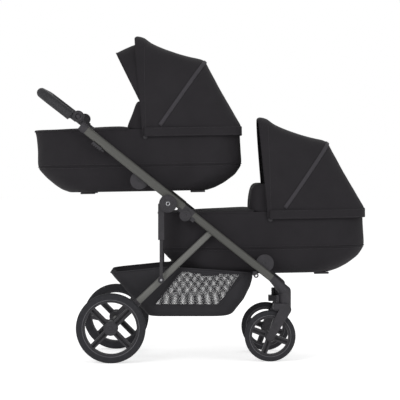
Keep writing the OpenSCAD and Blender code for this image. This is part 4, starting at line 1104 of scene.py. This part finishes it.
# A section through the window's tape: how far out of the window, and off the wall, in metres.
EDGE_SECTION = ((-0.001, 0), (0, 0.0022), (0.008, 0.0022), (0.009, 0), (0.008, -0.0022), (0, -0.0022))
for tag, k in SIDES:
    window = WINDOWS[tag]
    points, faces = [], []
    for lean in (1, -1):
        along = np.array([cos(CORD_SLOPE), lean * sin(CORD_SLOPE)])
        aside = np.array([-along[1], along[0]])
        reach = [np.dot(corner, aside) for corner in window]
        for away in np.arange(min(reach), max(reach), CORD_GAP):
            steps = [away * aside + along * s for s in np.arange(-0.6, 0.6, 0.004)]
            steps = [q for q in steps if in_window(window, q[0], q[1], 0.004)]
            if len(steps) < 2:
                continue
            if len(steps) > CORD_POINTS:
                kept = np.linspace(0, len(steps) - 1, CORD_POINTS).astype(int)
                steps = [steps[i] for i in kept]
            for q in steps:
                for side in (-0.5, 0.5):
                    x, z = q + aside * side * CORD_SHARE * CORD_GAP
                    points.append((x, k * (wall_y(x, z) + 0.0001 * lean), z))
            first = len(points) - 2 * len(steps)
            for i in range(first, len(points) - 2, 2):
                faces.append((i, i + 2, i + 3, i + 1) if k < 0 else (i, i + 1, i + 3, i + 2))
    net = piece_from("basket_net_" + tag, points, faces, NET_CORD)
    print(tag, "net cords have", len(faces), "faces and cover", round(area_of(net), 4))
    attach(net, "front_frame")
    basket_pieces.append(net)
    edge = []
    for (ax, az), (bx, bz) in zip(window, window[1:] + window[:1]):
        shares = np.linspace(0, 1, 30, endpoint=False)
        edge += [(ax + (bx - ax) * t, az + (bz - az) * t) for t in shares]
    centre = np.mean(window, 0)
    rows = []
    for grow, lift in EDGE_SECTION:
        line = []
        for x, z in edge:
            away = np.array([x, z]) - centre
            away = away / np.linalg.norm(away)
            x, z = x + away[0] * grow, z + away[1] * grow
            line.append((x, k * (wall_y(x, z) + lift), z))
        rows.append(line)
    rows = np.transpose(np.array(rows), (1, 0, 2))
    rows = np.concatenate([rows, rows[:1]])
    tape = closed_up(skin("basket_window_tape_" + tag, rows, BASKET_CLOTH, loop=True))
    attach(tape, "front_frame")
    basket_pieces.append(tape)
rim = ring_tube("basket_rim_binding", basket_ring(1.0), 0.0032, BASKET_CLOTH)
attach(rim, "front_frame")
basket_pieces.append(rim)
for piece in basket_pieces:
    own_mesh(piece)
print("basket pieces", [p.name for p in basket_pieces])

# %% [markdown]
# The discs on the frame are moulded caps with raised rings. Each rear wheel has a cap over its axle,
# and every wheel has a thin bead where tyre meets rim. They are turned shapes, so each starts as a
# cylinder whose face is inset and pushed in and out ring by ring, or as a torus for a bead.

# %% Caps, rings and beads
# Steps of a cap's face, each an inset and a push.
RINGS = [(0.0025, 0), (0.001, -0.0012), (0.006, 0), (0.001, 0.0012), (0.005, 0),
         (0.001, -0.0012)]


def wire_ring(name, centre, radius, thick, finish, body, sides=72):
    """A round wire ring across the pram, from a torus."""
    bpy.ops.object.select_all(action="DESELECT")
    bpy.ops.mesh.primitive_torus_add(
        location=centre, rotation=(radians(90), 0, 0), major_radius=radius, minor_radius=thick,
        major_segments=sides, minor_segments=8)
    made = settle(bpy.context.object, name, finish)
    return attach(made, body)


HANDLE = pins["handlebar_tilt"]
FOLD = pins["frame_fold"]
STRUT = pins["strut_fold"]
HUB = pins["brake_press"]
# The pin at the strut's foot, as X and Z.
STRUT_FOOT = (-0.1563, 0.3321)
for tag, k in SIDES:
    # Each cap's name, pin, distance out, radius, depth, steps, finish and body.
    caps = (("strut_cover_rings", STRUT, 0.2855, 0.0345, 0.002,
             RINGS + [(0.006, 0), (0.001, 0.0012)], NYLON, "upper_frame"),
            ("fold_disc_rings", FOLD, 0.2647, 0.0225, 0.0016, RINGS, NYLON, "upper_frame"),
            ("tilt_button_rings", HANDLE, 0.2664, 0.0165, 0.0016, RINGS[:4], NYLON,
             "tilt_button_" + tag),
            ("rear_hub_cap", HUB, 0.3145, 0.0265, 0.003,
             RINGS + [(0.003, 0), (0.001, 0.0012)], RIM_NYLON, "rear_wheel_" + tag))
    for name, at, y, radius, depth, steps, finish, body in caps:
        cap = rod("%s_%s" % (name, tag), (at[0], k * y, at[2]), radius, depth, finish, steps)
        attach(cap, body)
    wire_ring("strut_cover_eye_" + tag, (STRUT[0], k * 0.2872, STRUT[2]), 0.0068, 0.0016, STEEL,
              "upper_frame")
    pin = rod("strut_foot_pin_" + tag, (STRUT_FOOT[0], k * 0.2785, STRUT_FOOT[1]), 0.0045, 0.002,
              STEEL, [(0.0012, 0), (0.0005, -0.0006)], 0.0004)
    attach(pin, "struts")
    for which, body in (("upper", "upper_frame"), ("lower", "front_frame")):
        at = on_cot(which, [LUG])[0]
        boss = rod("%s_socket_boss_%s" % (which, tag), (at[0], k * 0.2426, at[2]), 0.0072, 0.0014,
                   BLACK_STEEL, [(0.002, 0), (0.0006, -0.001)])
        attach(boss, body)
    # The rim-edge beads carry the painted highlight: a pale line where light would catch each rim.
    wire_ring("rear_rim_edge_" + tag, (HUB[0], k * 0.3128, HUB[2]), 0.1146, 0.0017, RIM_EDGE_HIGHLIGHT,
              "rear_wheel_" + tag)
    front = pins["front_wheel_%s_spin" % tag]
    for face, y in (("outer", 0.0172), ("inner", -0.0172)):
        wire_ring("front_rim_edge_%s_%s" % (tag, face), (front[0], front[1] + k * y, front[2]),
                  0.0836, 0.0015, RIM_EDGE_HIGHLIGHT, "front_wheel_" + tag)
print("caps made")

# %% [markdown]
# The basket hangs from four hooks, on the front tubes and the rear legs, and a small stiff tab
# sits at the top of each net. They are plain moulded blocks: a cube set to size, with its edges
# bevelled. A stitched seam closes the leatherette under the handlebar.

# %% Hooks, tabs and the grip's seam
def block(name, low, high, finish, body, bevel=0.0015):
    """A box between two corners with rounded edges."""
    bpy.ops.object.select_all(action="DESELECT")
    bpy.ops.mesh.primitive_cube_add(size=1, location=[(a + b) / 2 for a, b in zip(low, high)])
    made = placed([abs(b - a) for a, b in zip(low, high)])
    finish_with(made, "BEVEL", width=bevel, segments=3)
    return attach(settle(made, name, finish), body)


for tag, k in SIDES:
    block("basket_strap_" + tag, (0.2120, k * 0.130, 0.3495), (0.2245, k * 0.2605, 0.3595),
          NYLON, "front_frame")
    block("basket_front_hook_" + tag, (0.2140, k * 0.2435, 0.3520), (0.2288, k * 0.2600, 0.3662),
          NYLON, "front_frame")
    wire_ring("basket_hook_ring_" + tag, (0.2265, k * 0.2517, 0.3495), 0.0075, 0.0027, NYLON,
              "front_frame", sides=24)
    block("basket_rear_hook_" + tag, (-0.117, k * 0.1965, 0.3665), (-0.101, k * 0.2218, 0.3785),
          NYLON, "rear_legs")
    tab = block("basket_tab_" + tag, (0.0045, k * 0.1950, 0.3450), (0.0695, k * 0.1990, 0.3640),
                BASKET_CLOTH, "front_frame", 0.001)
    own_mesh(tab)
bar_low, bar_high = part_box("handlebar_grip")
under = [(bar_low[0] + 0.0305, y, bar_high[2] - 0.0375) for y in np.linspace(-0.18, 0.18, 9)]
stitch_row("handlebar_stitches", under, [(0.5, 0, -0.87)] * 9, "handlebar", pitch=0.006)
print("hooks and seam made")
